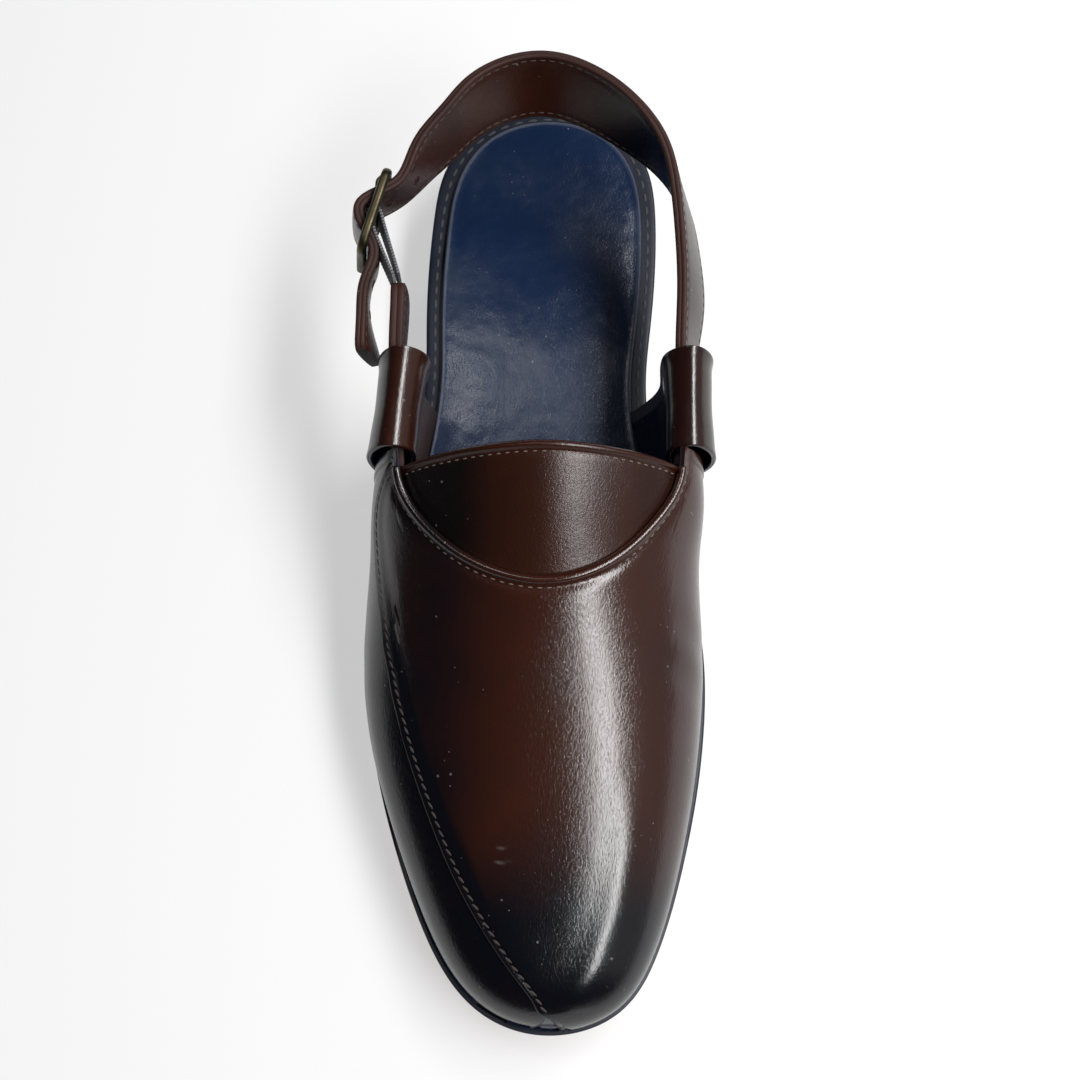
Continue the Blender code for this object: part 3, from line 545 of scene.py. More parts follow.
black_tread = black_rubber_finish("black_tread_rubber")
lattice, sunk = pad_lattice()
add_tread("pad_tread", "forefoot_pad", lattice, PAD_CELL_DEPTH * sunk, 0.0,
          pad_ring(np.linspace(0, FULL_TURN, 900), PAD_TREAD_GROW), PAD_CENTRE,
          under=lambda station: sole_bottom(station) - PAD_FACE,
          bits=lambda flat: np.zeros(len(flat)), back=PAD_TREAD_BACK)
turn = np.linspace(0, FULL_TURN, 420)
rows = [lifted(sole_bottom, pad_ring(turn, grow), offset) for grow, offset in zip(*PAD_RIM.values())]
add_surface("pad_rim", np.array(rows), black_tread, "forefoot_pad", "black_rubber", bits=0.0)


# ---- Heel -------------------------------------------------------------------------------------
# A block of the sole's own red rubber under the seat. Its breast is hollow, its sides are painted
# navy black, and its rear is cut away for the black top piece.
BREAST_MIDDLE, BREAST_HOLLOW = 218.8, 2.6
TOP_PIECE_OUTER, TOP_PIECE_INNER = 246.3, 260.2
TOP_PIECE_THICKNESS, TOP_PIECE_CLEARANCE = 5.0, 0.3
TOP_PIECE_GROOVE = 0.25
HEEL_TOP = 16.7
# The block's lower edge from its underside round to its wall
HEEL_EDGE = table(("inset", "rise", "paint"), (1.5, 0.0, 0), (1.1, 0.0, 0), (0.8, 0.05, 1),
                  (0.35, 0.2, 1), (0.0, 0.8, 1))


def breast_line(share):
    """Station of the heel's hollow front face; share runs from -1, outer, to 1, inner."""
    return BREAST_MIDDLE - BREAST_HOLLOW * share**2


def slant_line(share):
    """Station of the top piece's front edge."""
    return TOP_PIECE_OUTER + (TOP_PIECE_INNER - TOP_PIECE_OUTER) * (share + 1) / 2


def groove_line(share):
    """Station where the block stops in front of the top piece."""
    return slant_line(share) - TOP_PIECE_GROOVE


def rear_line(share):
    """Station of the heel's rear end."""
    return SOLE_LENGTH + 0 * share


def heel_section(front, rear, base, top, count):
    """Rows of a heel layer: each is a closed loop along the underside, up one wall and back.

    Stations run from front to rear, which are both functions of the share across, and crowd
    towards the rear. Inset from the side is measured square to the shoe's length. The flat part
    of the underside stops where the eased edges begin.
    """
    share = np.linspace(-1, 1, 41)[1:-1]
    level, side_rows = np.zeros(len(share)), np.ones(len(HEEL_EDGE["inset"]))
    inset, rise, paint = (np.concatenate([part[::-1], level, part]) for part in HEEL_EDGE.values())
    under = len(rise)
    sign = np.concatenate([-side_rows, level, side_rows, [1], level, [-1, -1]])
    across = np.concatenate([-side_rows, share, side_rows, [1], share[::-1], [-1, -1]])
    inset = np.append(inset, np.zeros(len(across) - under))
    paint = np.append(paint, np.ones(len(across) - under))
    along = np.sin(np.linspace(0, math.pi / 2, count))[:, None]
    station = front(across) + (rear(across) - front(across)) * along
    half, middle = outline(station)
    limit = np.clip(half - HEEL_EDGE["inset"][0], 0, None) / np.maximum(half, 1e-6)
    limit[:, under:] = 1
    side = middle + np.where(sign == 0, across * limit, across) * half - sign * np.minimum(inset, half)
    height = np.full(station.shape, float(top))
    height[:, :under] = base + rise
    height[:, -1] = base + rise[-1]
    return joined(side, station, height), np.broadcast_to(paint, station.shape)


def front_capped(rows, top):
    """The rows with their front closed by a copy of the first row at the top's height."""
    cap = rows[:1].copy()
    cap[..., 2] = top
    return np.concatenate([cap, rows])


front_rows, front_paint = heel_section(breast_line, groove_line, 0.0, HEEL_TOP, 24)
rear_rows, rear_paint = heel_section(groove_line, rear_line, TOP_PIECE_THICKNESS + TOP_PIECE_CLEARANCE,
                                     HEEL_TOP, 60)
add_surface("heel_block", front_capped(np.concatenate([front_rows, rear_rows]), HEEL_TOP), sole_red,
            "heel", "red_sole", paint=np.concatenate([front_paint[:1], front_paint, rear_paint]))


# ---- Heel top piece ---------------------------------------------------------------------------
# Black rubber at the rear of the heel, with a slanting front edge. Its tread is small pyramids
# in slanting rows, with a plain band round them.
TREAD_TURN = math.radians(38)
TREAD_STEPS = (0.5, 0.75)
TREAD_DEPTH = 0.45
TREAD_CENTRE = (2.0, 274.0)
TREAD_RECESS, TREAD_EDGE, TREAD_BACK = 0.7, 1.1, 0.4
HEEL_MIDDLE, HEEL_HALF_WIDTH = 1.0, 37.0
TREAD_BAND = table(("inset", "height"), (0.0, 0.9), (0.0, 0.25), (0.3, 0.0), (1.0, 0.0), (1.25, 0.2),
                   (1.25, 0.9), (0.0, 0.9))


def tread_lattice(columns=220, rows=150):
    """Pyramids: each second corner both ways stands up, and the corners between are low."""
    i, j = np.meshgrid(np.arange(columns), np.arange(rows), indexing="xy")
    along, beside = (i - columns // 2) * TREAD_STEPS[0], (j - rows // 2) * TREAD_STEPS[1]
    return turned_lattice(along, beside, TREAD_TURN, TREAD_CENTRE), (i % 2) * (j % 2)


def top_piece_ring(inset, count=400):
    """Plan ring of the top piece at an inset from its edge."""
    share = np.linspace(-1, 1, 80)
    station = slant_line(share) + inset
    half, middle = outline(station)
    front = joined(middle + share * (half - inset), station)
    turn = np.linspace(0, math.pi / 2, count // 2)
    sides = []
    for sign, first in ((1, front[-1, 1]), (-1, front[0, 1])):
        station = first + (SOLE_LENGTH - inset - first) * np.sin(turn)
        half, middle = outline(station, inset)
        sides.append(joined(middle + sign * half, station))
    return np.concatenate([front, sides[0][1:], sides[1][-2::-1]])


def joint_bits(points):
    """Share of red bits, which lie close to the joint with the block's red rubber."""
    share = (points[..., 0] - HEEL_MIDDLE) / HEEL_HALF_WIDTH
    return smoothstep(3.5, 0.5, points[..., 1] - slant_line(share))


base_rows, _ = heel_section(slant_line, rear_line, 0.0, TOP_PIECE_THICKNESS, 60)
base_rows[:, 1:48, 2] += TREAD_RECESS
add_surface("heel_top_piece", front_capped(base_rows, TOP_PIECE_THICKNESS), black_tread, "heel_rubber",
            "black_rubber", bits=0.0)
rows = np.array([np.insert(top_piece_ring(inset), 2, height, axis=1)
                 for inset, height in zip(*TREAD_BAND.values())])
add_surface("heel_tread_band", rows, black_tread, "heel_rubber", "black_rubber", bits=joint_bits(rows))
lattice, up = tread_lattice()
add_tread("heel_tread", "heel_rubber", lattice, TREAD_DEPTH * (1 - up), TREAD_DEPTH,
          top_piece_ring(TREAD_EDGE), TREAD_CENTRE, under=lambda station: 0 * station,
          bits=joint_bits, back=TREAD_BACK)


# ---- Insole -----------------------------------------------------------------------------------
# Navy leather over a thin pad, glued on the outsole. Its turned edge is raised, and a pale line
# painted along it is a painted highlight; long stitches run in the black margin round the heel seat.
INSOLE_INSET, INSOLE_SPINE = 5.2, 30.0
# The rim column paints a pale line along the turned edge: a painted highlight
INSOLE_EDGE = table(
    ("inset", "rise", "rim"),
    (INSOLE_SPINE, 0.3, 0), (INSOLE_INSET + 0.4, 0.3, 0), (INSOLE_INSET, 0.5, 0),
    (INSOLE_INSET - 0.1, 1.3, 0.0), (INSOLE_INSET + 0.1, 2.1, 0.2), (INSOLE_INSET + 0.5, 2.45, 0.3),
    (INSOLE_INSET + 0.8, 2.4, 0.1), (INSOLE_INSET + 1.6, 2.25, 0), (INSOLE_INSET + 3.0, 2.4, 0),
    (INSOLE_INSET + 7.0, 2.75, 0), (22.0, 2.95, 0), (INSOLE_SPINE, 3.05, 0))
MARGIN_STITCH, MARGIN_FRONT_TURN, MARGIN_FRONT = 2.9, 1.22, 178.0


def leather_finish(name, brown, dark, mottle_and_sheen_tint, coat, rough, grain=0.35, folds=0.1, shine=0.5):
    """Dressed leather: a colour that the burnish attribute darkens, a mottled sheen and fine grain.

    The burnish attribute holds burnish and painted shade. The rim attribute makes an edge dull and
    then pale, which on the insole is a painted highlight; the lining attribute gives a navy lining
    colour. Clouds mix in a second tint, a darker tone on brown leather and painted sheen on the insole.
    Grain is the wrinkles' strength and folds the height in millimetres of the soft waves.
    """
    finish = Finish(name, Coat_Weight=coat, Coat_Roughness=0.15, Specular_IOR_Level=shine)
    clouds = finish.noise(30.0, 6.0, Roughness=0.6)
    burnish, rim, lining = (finish.attribute(title) for title in ("burnish", "rim", "lining"))
    uneven = finish.math("ADD", burnish, finish.spread(clouds, 0.3, 0.7, -0.16, 0.16))
    colour = finish.blend(finish.spread(clouds, 0.5, 0.8, 0.0, 0.5), brown, mottle_and_sheen_tint)
    colour = finish.blend(finish.spread(uneven, 0.08, 0.95), colour, dark)
    colour = finish.blend(finish.spread(lining, 0.4, 0.6), colour, (0.010, 0.013, 0.030))
    colour = finish.blend(finish.spread(rim, 0.1, 1.0, 0.0, 0.8), colour, (0.13, 0.12, 0.15))
    dusty = finish.spread(finish.noise(60.0, 3.0), 0.46, 0.66, 0.0, 0.13)
    speck = finish.math("MULTIPLY", finish.math("LESS_THAN", finish.cells(330.0), dusty), 0.45)
    colour = finish.blend(speck, colour, (0.16, 0.15, 0.15))
    sheen = finish.spread(clouds, 0.3, 0.7, *rough)
    dull = finish.math("ADD", sheen, finish.spread(rim, 0.02, 0.12, 0.0, 0.35))
    wrinkles = finish.spread(finish.noise(1500.0, 1.5, stretch=(1, 0.5, 1), Distortion=0.9), 0.32, 0.6)
    height = finish.math("ADD", wrinkles, finish.noise(3600.0, 2.0))
    waves = finish.bump(finish.noise(75.0, 2.0), 0.5, folds)
    return finish.dress(Base_Color=colour, Roughness=dull,
                        Normal=finish.bump(height, grain, 0.06, Normal=waves))


def thread_finish(name, colour):
    """Twisted thread: fine slanting stripes over its colour."""
    finish = Finish(name, Roughness=0.7, Specular_IOR_Level=0.3)
    sockets = {"Vector": finish.where(), "Scale": 900.0, "Distortion": 1.0}
    twist = finish.node("TexWave", sockets, bands_direction="DIAGONAL").outputs["Fac"]
    shade = tuple(0.45 * part for part in colour)
    return finish.dress(Base_Color=finish.blend(twist, shade, colour), Normal=finish.bump(twist, 0.5, 0.05))


def unit(vectors):
    """Vectors brought to length 1."""
    return vectors / np.linalg.norm(vectors, axis=-1, keepdims=True)


def along_line(points, at, values=None):
    """A line's points, or values given at them, read straight at distances along it."""
    length, values = path_length(points), points if values is None else values
    return joined(*(np.interp(at, length, part) for part in values.T))


def block_faces(rows, columns, points):
    """Quads of many equal grids of points that are stored one after another."""
    starts = np.arange(0, len(points), rows * columns)
    return (grid_faces(rows, columns) + starts[:, None, None]).reshape(-1, 4)


def add_stitches(name, lines, finish, slot, pitch, length, width, sink=0.3, slant=0.0):
    """Rows of stitches, each a small swelling that dives into the leather at both ends.

    Every line holds points and the leather's outward direction at each. A stitch's section is a
    flat ellipse whose size follows the sine along it, and its ends lie a little deeper. Slant is
    how far its ends lie to the two sides of the line, as a share of its length.
    """
    share, turn = np.linspace(0, 1, 6)[:, None, None], np.linspace(0, FULL_TURN, 7)[:, None]
    swell = np.sin(math.pi * np.clip(share, 0.03, 0.97))**0.6
    lift = width * (0.02 * swell - sink * (1 - np.sin(math.pi * share)))
    made = []
    for points, out in lines:
        total = path_length(points)[-1]
        count = max(int(total / pitch), 1)
        centre = (np.arange(count) + 0.5) * total / count
        a, b = along_line(points, centre - length / 2), along_line(points, centre + length / 2)
        up = along_line(points, centre, out)
        aside = unit(np.cross(up, b - a))
        a, b = a - slant * length / 2 * aside, b + slant * length / 2 * aside
        a, run, up, aside = (part[:, None, None] for part in (a, b - a, up, aside))
        spot = (a + share * run + (lift + 0.28 * width * swell * np.sin(turn)) * up
                + (0.5 * width * swell * np.cos(turn)) * aside)
        made.append(spot.reshape(-1, 3))
    points = np.concatenate(made)
    return add_piece(name, points, block_faces(6, 7, points), finish, None, slot, weld=0.0000001)


# The insole's paler grey-blue clouds are painted sheen patches
navy_leather = leather_finish("navy_insole_leather", (0.0032, 0.0110, 0.036), (0.006, 0.009, 0.022),
                              (0.022, 0.036, 0.055), coat=0.0, rough=(0.18, 0.32), grain=0.3, folds=1.3)
turn = np.linspace(0, FULL_TURN, 480)
rows = [lifted(sole_top, (sole_spine if inset == INSOLE_SPINE else sole_ring)(turn, inset), rise)
        for inset, rise in zip(INSOLE_EDGE["inset"], INSOLE_EDGE["rise"])]
add_surface("insole_cover", np.array(rows), navy_leather, "insole", "navy_leather",
            rim=INSOLE_EDGE["rim"][:, None], burnish=0.0, lining=0.0)
margin_thread = thread_finish("margin_thread", (0.050, 0.050, 0.058))
flat = sole_ring(np.linspace(MARGIN_FRONT_TURN, FULL_TURN - MARGIN_FRONT_TURN, 400), MARGIN_STITCH)
flat = flat[flat[:, 1] > MARGIN_FRONT]
add_stitches("margin_stitches", [(lifted(sole_top, flat, 0.05), np.tile((0.0, 0.0, 1.0), (len(flat), 1)))],
             margin_thread, "navy_leather", pitch=5.0, length=4.1, width=1.0)


# ---- Upper ------------------------------------------------------------------------------------
# Brown leather pulled over a last. The vamp laps over the outer side panel, and its cut edge is
# stitched down. Both are burnished almost black at the toe, along the seam and near the sole; painted
# shade darkens them towards the outer side, together with burnish there, and a little on the inner side.
UPPER_FRONT, UPPER_REAR, THROAT_FRONT = 1.0, 160.6, 120.4
UPPER_WALL, UPPER_SEAT = 1.8, 0.3
CORNER_AROUND = math.radians(44.0)
PANEL_STEP, PANEL_ROWS = 0.85, 40
SEAM_STITCH, THROAT_STITCH = 2.0, 2.1
LIP_SINK, LIP_REACH, NOTCH_DEPTH = 0.4, 0.25, 0.8
TINY = 1e-3
UPPER = table(
    ("station", "inset", "height", "power", "bulge_outer", "bulge_inner", "ridge"),
    (UPPER_FRONT, 1.0, 0.0, 2.30, 0.00, 0.00, 0.0), (3.6, 1.0, 8.0, 2.30, 0.00, 0.00, 0.0),
    (8.2, 1.0, 13.2, 2.30, 0.00, 0.00, 0.1), (15.0, 1.1, 17.6, 2.30, 0.01, 0.00, 0.2),
    (25.0, 1.1, 21.6, 2.28, 0.02, 0.00, 0.5), (40.0, 1.2, 26.0, 2.25, 0.05, 0.00, 1.0),
    (60.0, 1.4, 31.0, 2.20, 0.10, 0.00, 1.5), (80.0, 1.6, 36.6, 2.12, 0.15, 0.01, 2.0),
    (100.0, 1.8, 43.6, 2.03, 0.16, 0.04, 2.4), (121.0, 1.9, 53.0, 1.95, 0.16, 0.09, 2.7),
    (138.0, 1.4, 60.6, 1.92, 0.21, 0.20, 3.0), (150.0, 1.1, 64.8, 1.96, 0.31, 0.36, 3.0),
    (165.0, 1.0, 69.0, 2.00, 0.42, 0.50, 3.0))
# The vamp's cut edge on the outer side, from the toe to the throat's outer corner, in degrees
SEAM = table(
    ("station", "around"),
    (1.5, 180.0), (1.8, 135.0), (2.8, 105.0), (4.5, 88.0), (8.2, 80.0), (14.2, 74.0), (29.0, 60.5),
    (43.6, 52.5), (62.6, 47.5), (82.0, 44.0), (94.7, 41.4), (104.8, 39.0), (118.4, 35.6),
    (137.4, 31.0), (149.0, 34.4), (154.5, 39.0), (160.6, 44.9))
# The gap at the toe where the vamp and the panel meet: its apex and its base on the feather edge
NOTCH_APEX, NOTCH_BASE_HEIGHT, NOTCH_BASE = (2.3, 27.0), 18.3, (-3.2, 6.8)
# A soft ridge of the last on the inner side of the toe, in degrees
TOE_RIDGE = table(("station", "around"), (6.0, 101.0), (7.0, 110.0), (12.0, 110.0), (19.0, 116.0),
                  (33.0, 122.0), (49.0, 124.0), (63.0, 122.0))
# Where the leather is drawn in beside the vamp's seam: how deep, how far from the seam, how wide,
# and the stations between which it starts
DRAWN_IN = table(("depth", "beside", "wide", "none", "full"), (0.25, SEAM_STITCH, 0.8, 6, 12),
                 (0.35, 6.0, 3.0, 30, 60))
# Soft hollows and one rise where the foot bends the upper, with their spread in both directions
HOLLOWS = table(("depth", "around", "wide", "station", "long"), (0.5, 57, 9, 140, 16),
                (-0.5, 74, 14, 96, 20), (0.4, 128, 10, 138, 18))
# Two short pale rub marks on the toe: side, station and half length
SCUFFS = ((-10.3, 49.5, 1.6), (-10.6, 45.6, 2.2))


def from_tip(station):
    """Square root of the distance behind the upper's front, which spreads its knots evenly."""
    return np.sqrt(np.clip(station - UPPER_FRONT, 0, None))


def upper_point(station, around):
    """Outer face of the upper: power ellipses that lean out over the feather edge.

    Across the shoe the half width follows cos, plus a bulge that is strongest a third of the
    way up; the height follows sin. Both are raised to 2 / power.
    """
    knots = from_tip(UPPER["station"])
    inset, height, power, bulge_outer, bulge_inner, ridge = (
        spline(from_tip(station), knots, UPPER[name]) for name in list(UPPER)[1:])
    half, middle = outline(station, inset, UPPER_FRONT)
    cosine, sine = np.cos(around), np.sin(around)
    bulge = bulge_inner + (bulge_outer - bulge_inner) * np.cos(around / 2)**2
    across = np.sign(cosine) * np.abs(cosine)**(2 / power)
    across = across + bulge * np.sin(2 * around) * np.abs(cosine)
    side = middle + ridge * sine**2 - half * across
    top = sole_top(station) + UPPER_SEAT + np.maximum(height, 0) * np.abs(sine)**(2 / power)
    return joined(side, station, top)


def over_step(station, around):
    """How far the upper's face goes over a tiny turn to both sides."""
    return upper_point(station, around + TINY) - upper_point(station, around - TINY)


def upper_normal(station, around):
    """Outward direction of the upper, square to its two surface directions."""
    in_front = upper_point(np.maximum(station - TINY, UPPER_FRONT), around)
    return unit(np.cross(over_step(station, around), upper_point(station + TINY, around) - in_front))


def under_upper(station, around, depth):
    """Points at a depth under the upper's face, and the direction out of it there."""
    out = upper_normal(station, around)
    return upper_point(station, around) - np.asarray(depth)[..., None] * out, out


def mm_around(station, around):
    """Length in millimetres of one radian over the upper's section."""
    return np.linalg.norm(over_step(station, around), axis=-1) / (2 * TINY)


def seam_around(station):
    """Angle at which the vamp's cut edge lies, at the medial feather edge in front of the toe."""
    knots = from_tip(SEAM["station"])
    degrees = spline(np.maximum(from_tip(station), knots[0]), knots, SEAM["around"])
    return np.radians(np.clip(degrees, 0, 180))


def from_seam(station, around):
    """Distance over the upper from the vamp's cut edge."""
    return (around - seam_around(station)) * mm_around(station, around)


def throat_edge(around):
    """Station where the upper ends: half an ellipse round the throat, straight behind its corners."""
    aside = np.clip(np.abs(np.cos(around)) / math.cos(CORNER_AROUND), 0, 1)
    return THROAT_FRONT + (UPPER_REAR - THROAT_FRONT) * (1 - np.sqrt(1 - aside**2))


def throat_angles(corner, count):
    """Angles around from corner to corner, evenly spread along the throat's edge."""
    aside = np.sin(np.linspace(-math.pi / 2, math.pi / 2, count))
    return np.arccos(-aside * math.cos(corner))


def throat_slopes(station, around):
    """The throat as an ellipse of radius 1, in the cosine and the distance from its rear end.

    Gives a place's radius, and how fast it changes per millimetre along and over the upper.
    """
    width, length = math.cos(CORNER_AROUND), UPPER_REAR - THROAT_FRONT
    aside, ahead = np.cos(around) / width, (UPPER_REAR - station) / length
    radius = np.maximum(np.hypot(aside, ahead), 1e-3)
    across = aside * np.sin(around) / radius / (width * np.maximum(mm_around(station, around), 1.0))
    return radius, ahead / radius / length, across


def beside_throat(turn, distance):
    """Station and angle of places at a distance from the throat's edge, outside it."""
    station = throat_edge(turn)
    _, along, across = throat_slopes(station, turn)
    share = distance / np.hypot(along, across)
    return station - share * along, turn - share * across / mm_around(station, turn)


def bump_at(distance, width):
    """A soft hump of height 1 where distance is 0."""
    return np.exp(-(distance / width)**2)


def upper_relief(station, around, on_panel):
    """Depth under the last's smooth shape.

    The panel lies lower than the vamp; the leather is drawn in beside the throat's bead and by
    the stitches of the seam; shallow waves run where the upper bends behind the ball; the wings'
    rear ends are folded over, so they stand a little higher.
    """
    degrees = np.degrees(around)
    to_seam = from_seam(station, around)
    depth = PANEL_STEP * on_panel
    for deep, beside, wide, none, full in zip(*DRAWN_IN.values()):
        drawn = deep * bump_at(to_seam - beside, wide) * smoothstep(none, full, station)
        depth = depth + (1 - on_panel) * drawn
    radius, along, across = throat_slopes(station, around)
    from_bead = (radius - 1) / np.maximum(np.hypot(along, across), 1e-3)
    depth = depth + 0.45 * bump_at(from_bead - THROAT_STITCH, 1.3)
    for deep, middle, wide, place, long in zip(*HOLLOWS.values()):
        depth = depth + deep * bump_at(degrees - middle, wide) * bump_at(station - place, long)
    crease = 0.22 * np.sin(0.42 * (station + 0.16 * (degrees - 90)) + 0.9 * np.sin(around * 3))
    both_sides = bump_at(degrees - 40, 20) + bump_at(degrees - 145, 18)
    depth = depth + crease * bump_at(station - 104, 14) * both_sides
    to_ridge = np.radians(degrees - np.interp(station, *TOE_RIDGE.values())) * mm_around(station, around)
    ridge = bump_at(to_ridge + 1.0, 5.0) * smoothstep(74, 46, station) * smoothstep(4, 12, station)
    depth = depth - 0.6 * ridge
    wings = smoothstep(44, 42, degrees) + smoothstep(136, 138, degrees)
    return depth - 0.4 * smoothstep(3.3, 2.8, throat_edge(around) - station) * wings


def notch_inside(points):
    """Distance inside the small wedge at the toe, which widens from its apex to the feather edge."""
    fall = (NOTCH_APEX[1] - points[..., 2]) / (NOTCH_APEX[1] - NOTCH_BASE_HEIGHT)
    left, right = (NOTCH_APEX[0] + fall * (end - NOTCH_APEX[0]) for end in NOTCH_BASE)
    inside = np.minimum(points[..., 0] - left, right - points[..., 0])
    return np.where((points[..., 1] < 8) & (fall > 0), inside, -9.0)


def upper_burnish(points, station, around, on_panel):
    """How dark the leather is: burnish at the toe, in a strip inside the seam, on the panel and on the
    medial foot; towards the outer side partly burnish and partly painted shade; painted shade on the
    inner side.
    """
    toe = smoothstep(74, 20, station)
    strip = smoothstep(13, 5, from_seam(station, around))
    foot = smoothstep(152, 176, np.degrees(around))
    # Darker towards the outer side: partly burnish, partly painted shade where the lamp's light falls off
    outer_burnish_and_shade = 0.8 * smoothstep(0, -34, points[..., 0])
    # Painted shade: the inner side is darkened for how the light falls there
    inner_painted_shade = 0.3 * smoothstep(14, 36, points[..., 0])
    return np.maximum.reduce([toe, strip, foot, outer_burnish_and_shade, inner_painted_shade, 0.93 * on_panel])


def upper_grid(columns=190):
    """Outer face, as rows over the section and columns from the toe to the throat's edge.

    One row lies on the seam in every column, found by stepping half way to it again and again. In
    front of the toe's seam every row is panel. Columns crowd at the toe and at the wings' ends.
    """
    near_rear = 1 - np.array((5.0, 4.2, 3.5, 3.3, 3.1, 2.9, 2.7, 2.0, 1.3, 0.7)) / 150
    share = np.union1d(1 - np.cos(np.linspace(0, math.pi / 2, columns)), near_rear)[None, :]

    def at_share(around):
        return UPPER_FRONT + (throat_edge(around) - UPPER_FRONT) * share

    seam = np.full(share.shape, math.radians(90.0))
    for _ in range(60):
        seam = 0.5 * seam + 0.5 * seam_around(at_share(seam))
    panel = np.linspace(0, 1, PANEL_ROWS)[:, None] * seam
    radians = 1 / np.maximum(mm_around(np.maximum(at_share(seam), UPPER_FRONT + 0.4), seam), 1.0)
    first = np.minimum(seam + np.array((0.0, 0.05, 0.25, 0.6))[:, None] * radians, math.pi)
    vamp = first[-1:] + np.linspace(0, 1, 118)[1:, None] * (math.pi - first[-1:])
    around = np.concatenate([panel, first, vamp])
    on_panel = np.zeros((len(around), 1))
    on_panel[:PANEL_ROWS] = 1
    on_panel[PANEL_ROWS:PANEL_ROWS + 3, 0] = 0.45, 0.14, 0.03
    return at_share(around), around, np.broadcast_to(on_panel, around.shape)


def upper_faces(outer, lip, inner):
    """One grid of the outer face, the throat's lip and every fifth column of the inner face."""
    return np.concatenate([outer, lip[:, -1:], inner[:, ::-5]], axis=1)


def capped(rows):
    """Rows with the first and the last one doubled, as the rows that close a piece have them."""
    return np.concatenate([rows[:1], rows, rows[-1:]])


polished_brown = leather_finish("polished_brown_leather", (0.024, 0.0057, 0.0025), (0.0012, 0.0013, 0.0030),
                                (0.013, 0.0040, 0.0026), coat=0.06, rough=(0.18, 0.24))
station, around, on_panel = upper_grid()
outer = upper_point(station, around)
normal = upper_normal(np.maximum(station, UPPER_FRONT + 0.05), around)
normal[:, 0] = unit(normal[:, 1].mean(axis=0))
notch = smoothstep(0.0, 0.35, notch_inside(outer))
pinch = smoothstep(UPPER_FRONT, UPPER_FRONT + 0.8, station)
depth = upper_relief(station, around, on_panel) * pinch + NOTCH_DEPTH * notch
face = outer - depth[..., None] * normal
lip = face - LIP_SINK * normal + (0.0, LIP_REACH, 0.0)
points = upper_faces(face, lip, outer - UPPER_WALL * normal)
# Both feather edges and the front are closed by bringing the two faces together inside the wall
core = outer - UPPER_WALL / 2 * normal
core = upper_faces(core, core, core)
points = np.concatenate([core[:1], points, core[-1:]])
burnish = np.maximum(upper_burnish(outer, station, around, on_panel), notch)
marks = sum(0.3 * bump_at(outer[..., 0] - side, long) * bump_at(outer[..., 1] - place, 0.3)
            for side, place, long in SCUFFS)
marks = marks + 0.5 * bump_at(notch_inside(outer) + 0.1, 0.3)
marks[PANEL_ROWS:PANEL_ROWS + 3] += 0.2
add_surface("vamp_and_side_panel", points, polished_brown, "upper", "brown_leather", sharp=50,
            burnish=capped(upper_faces(burnish, burnish, burnish)),
            lining=capped(upper_faces(notch, 0 * notch, 1 + 0 * notch)),
            rim=capped(upper_faces(marks, 0 * marks, 0 * marks)))

seam_thread = thread_finish("seam_thread", (0.060, 0.044, 0.038))
at = np.linspace(6.0, 158.0, 300)
turn = seam_around(at) + SEAM_STITCH / mm_around(at, seam_around(at))
add_stitches("seam_stitches", [under_upper(at, turn, upper_relief(at, turn, 0))], seam_thread,
             "brown_leather", pitch=2.8, length=3.2, width=0.85, sink=0.15, slant=0.3)
edge_thread = thread_finish("edge_thread", (0.13, 0.105, 0.09))
BEAD_CORNER = CORNER_AROUND + math.radians(0.5)
at, turn = beside_throat(throat_angles(BEAD_CORNER, 300), THROAT_STITCH)
add_stitches("throat_stitches", [under_upper(at, turn, upper_relief(at, turn, 0))], edge_thread,
             "brown_leather", pitch=2.7, length=2.1, width=0.5)


# ---- Throat bead ------------------------------------------------------------------------------
# A strip of the same leather folded over a cord and sewn under the vamp's edge, all round the
# throat from corner to corner.
BEAD_RADIUS, BEAD_DEPTH, BEAD_COUNT, BEAD_TAPER = 1.35, 0.75, 260, 9.0


def closed_ends(rings, first, last):
    """Rings between two more, each of them drawn together on a point."""
    ends = [np.broadcast_to(point, rings[:1].shape) for point in (first, last)]
    return np.concatenate([ends[0], rings, ends[1]])


def tube(line, radius, out, sides=14):
    """A closed tube round a line; the radius may differ at each of the line's points."""
    along = unit(np.gradient(line, axis=0))
    aside = unit(np.cross(along, out))
    up = np.cross(aside, along)
    turn = np.linspace(0, FULL_TURN, sides + 1)[None, :, None]
    radius = np.broadcast_to(radius, len(line))[:, None, None]
    ring = line[:, None] + radius * (np.cos(turn) * aside[:, None] + np.sin(turn) * up[:, None])
    return closed_ends(ring, line[0], line[-1])


turn = throat_angles(BEAD_CORNER, BEAD_COUNT)
line, out = under_upper(throat_edge(turn) - 0.1, turn, BEAD_DEPTH)
to_end = np.minimum(np.arange(BEAD_COUNT), np.arange(BEAD_COUNT)[::-1]) / BEAD_TAPER
points = tube(line, BEAD_RADIUS * np.sqrt(np.clip(1 - (1 - np.minimum(to_end, 1))**2, 0.05, 1)), out)
# Darker towards the outer side: partly burnish, partly painted shade
add_surface("throat_bead", points, polished_brown, None, "brown_leather", sharp=60,
            burnish=np.interp(points[..., 0], (-30, -20, 0, 34), (0.8, 0.4, 0.1, 0.2)), lining=0.0, rim=0.0)


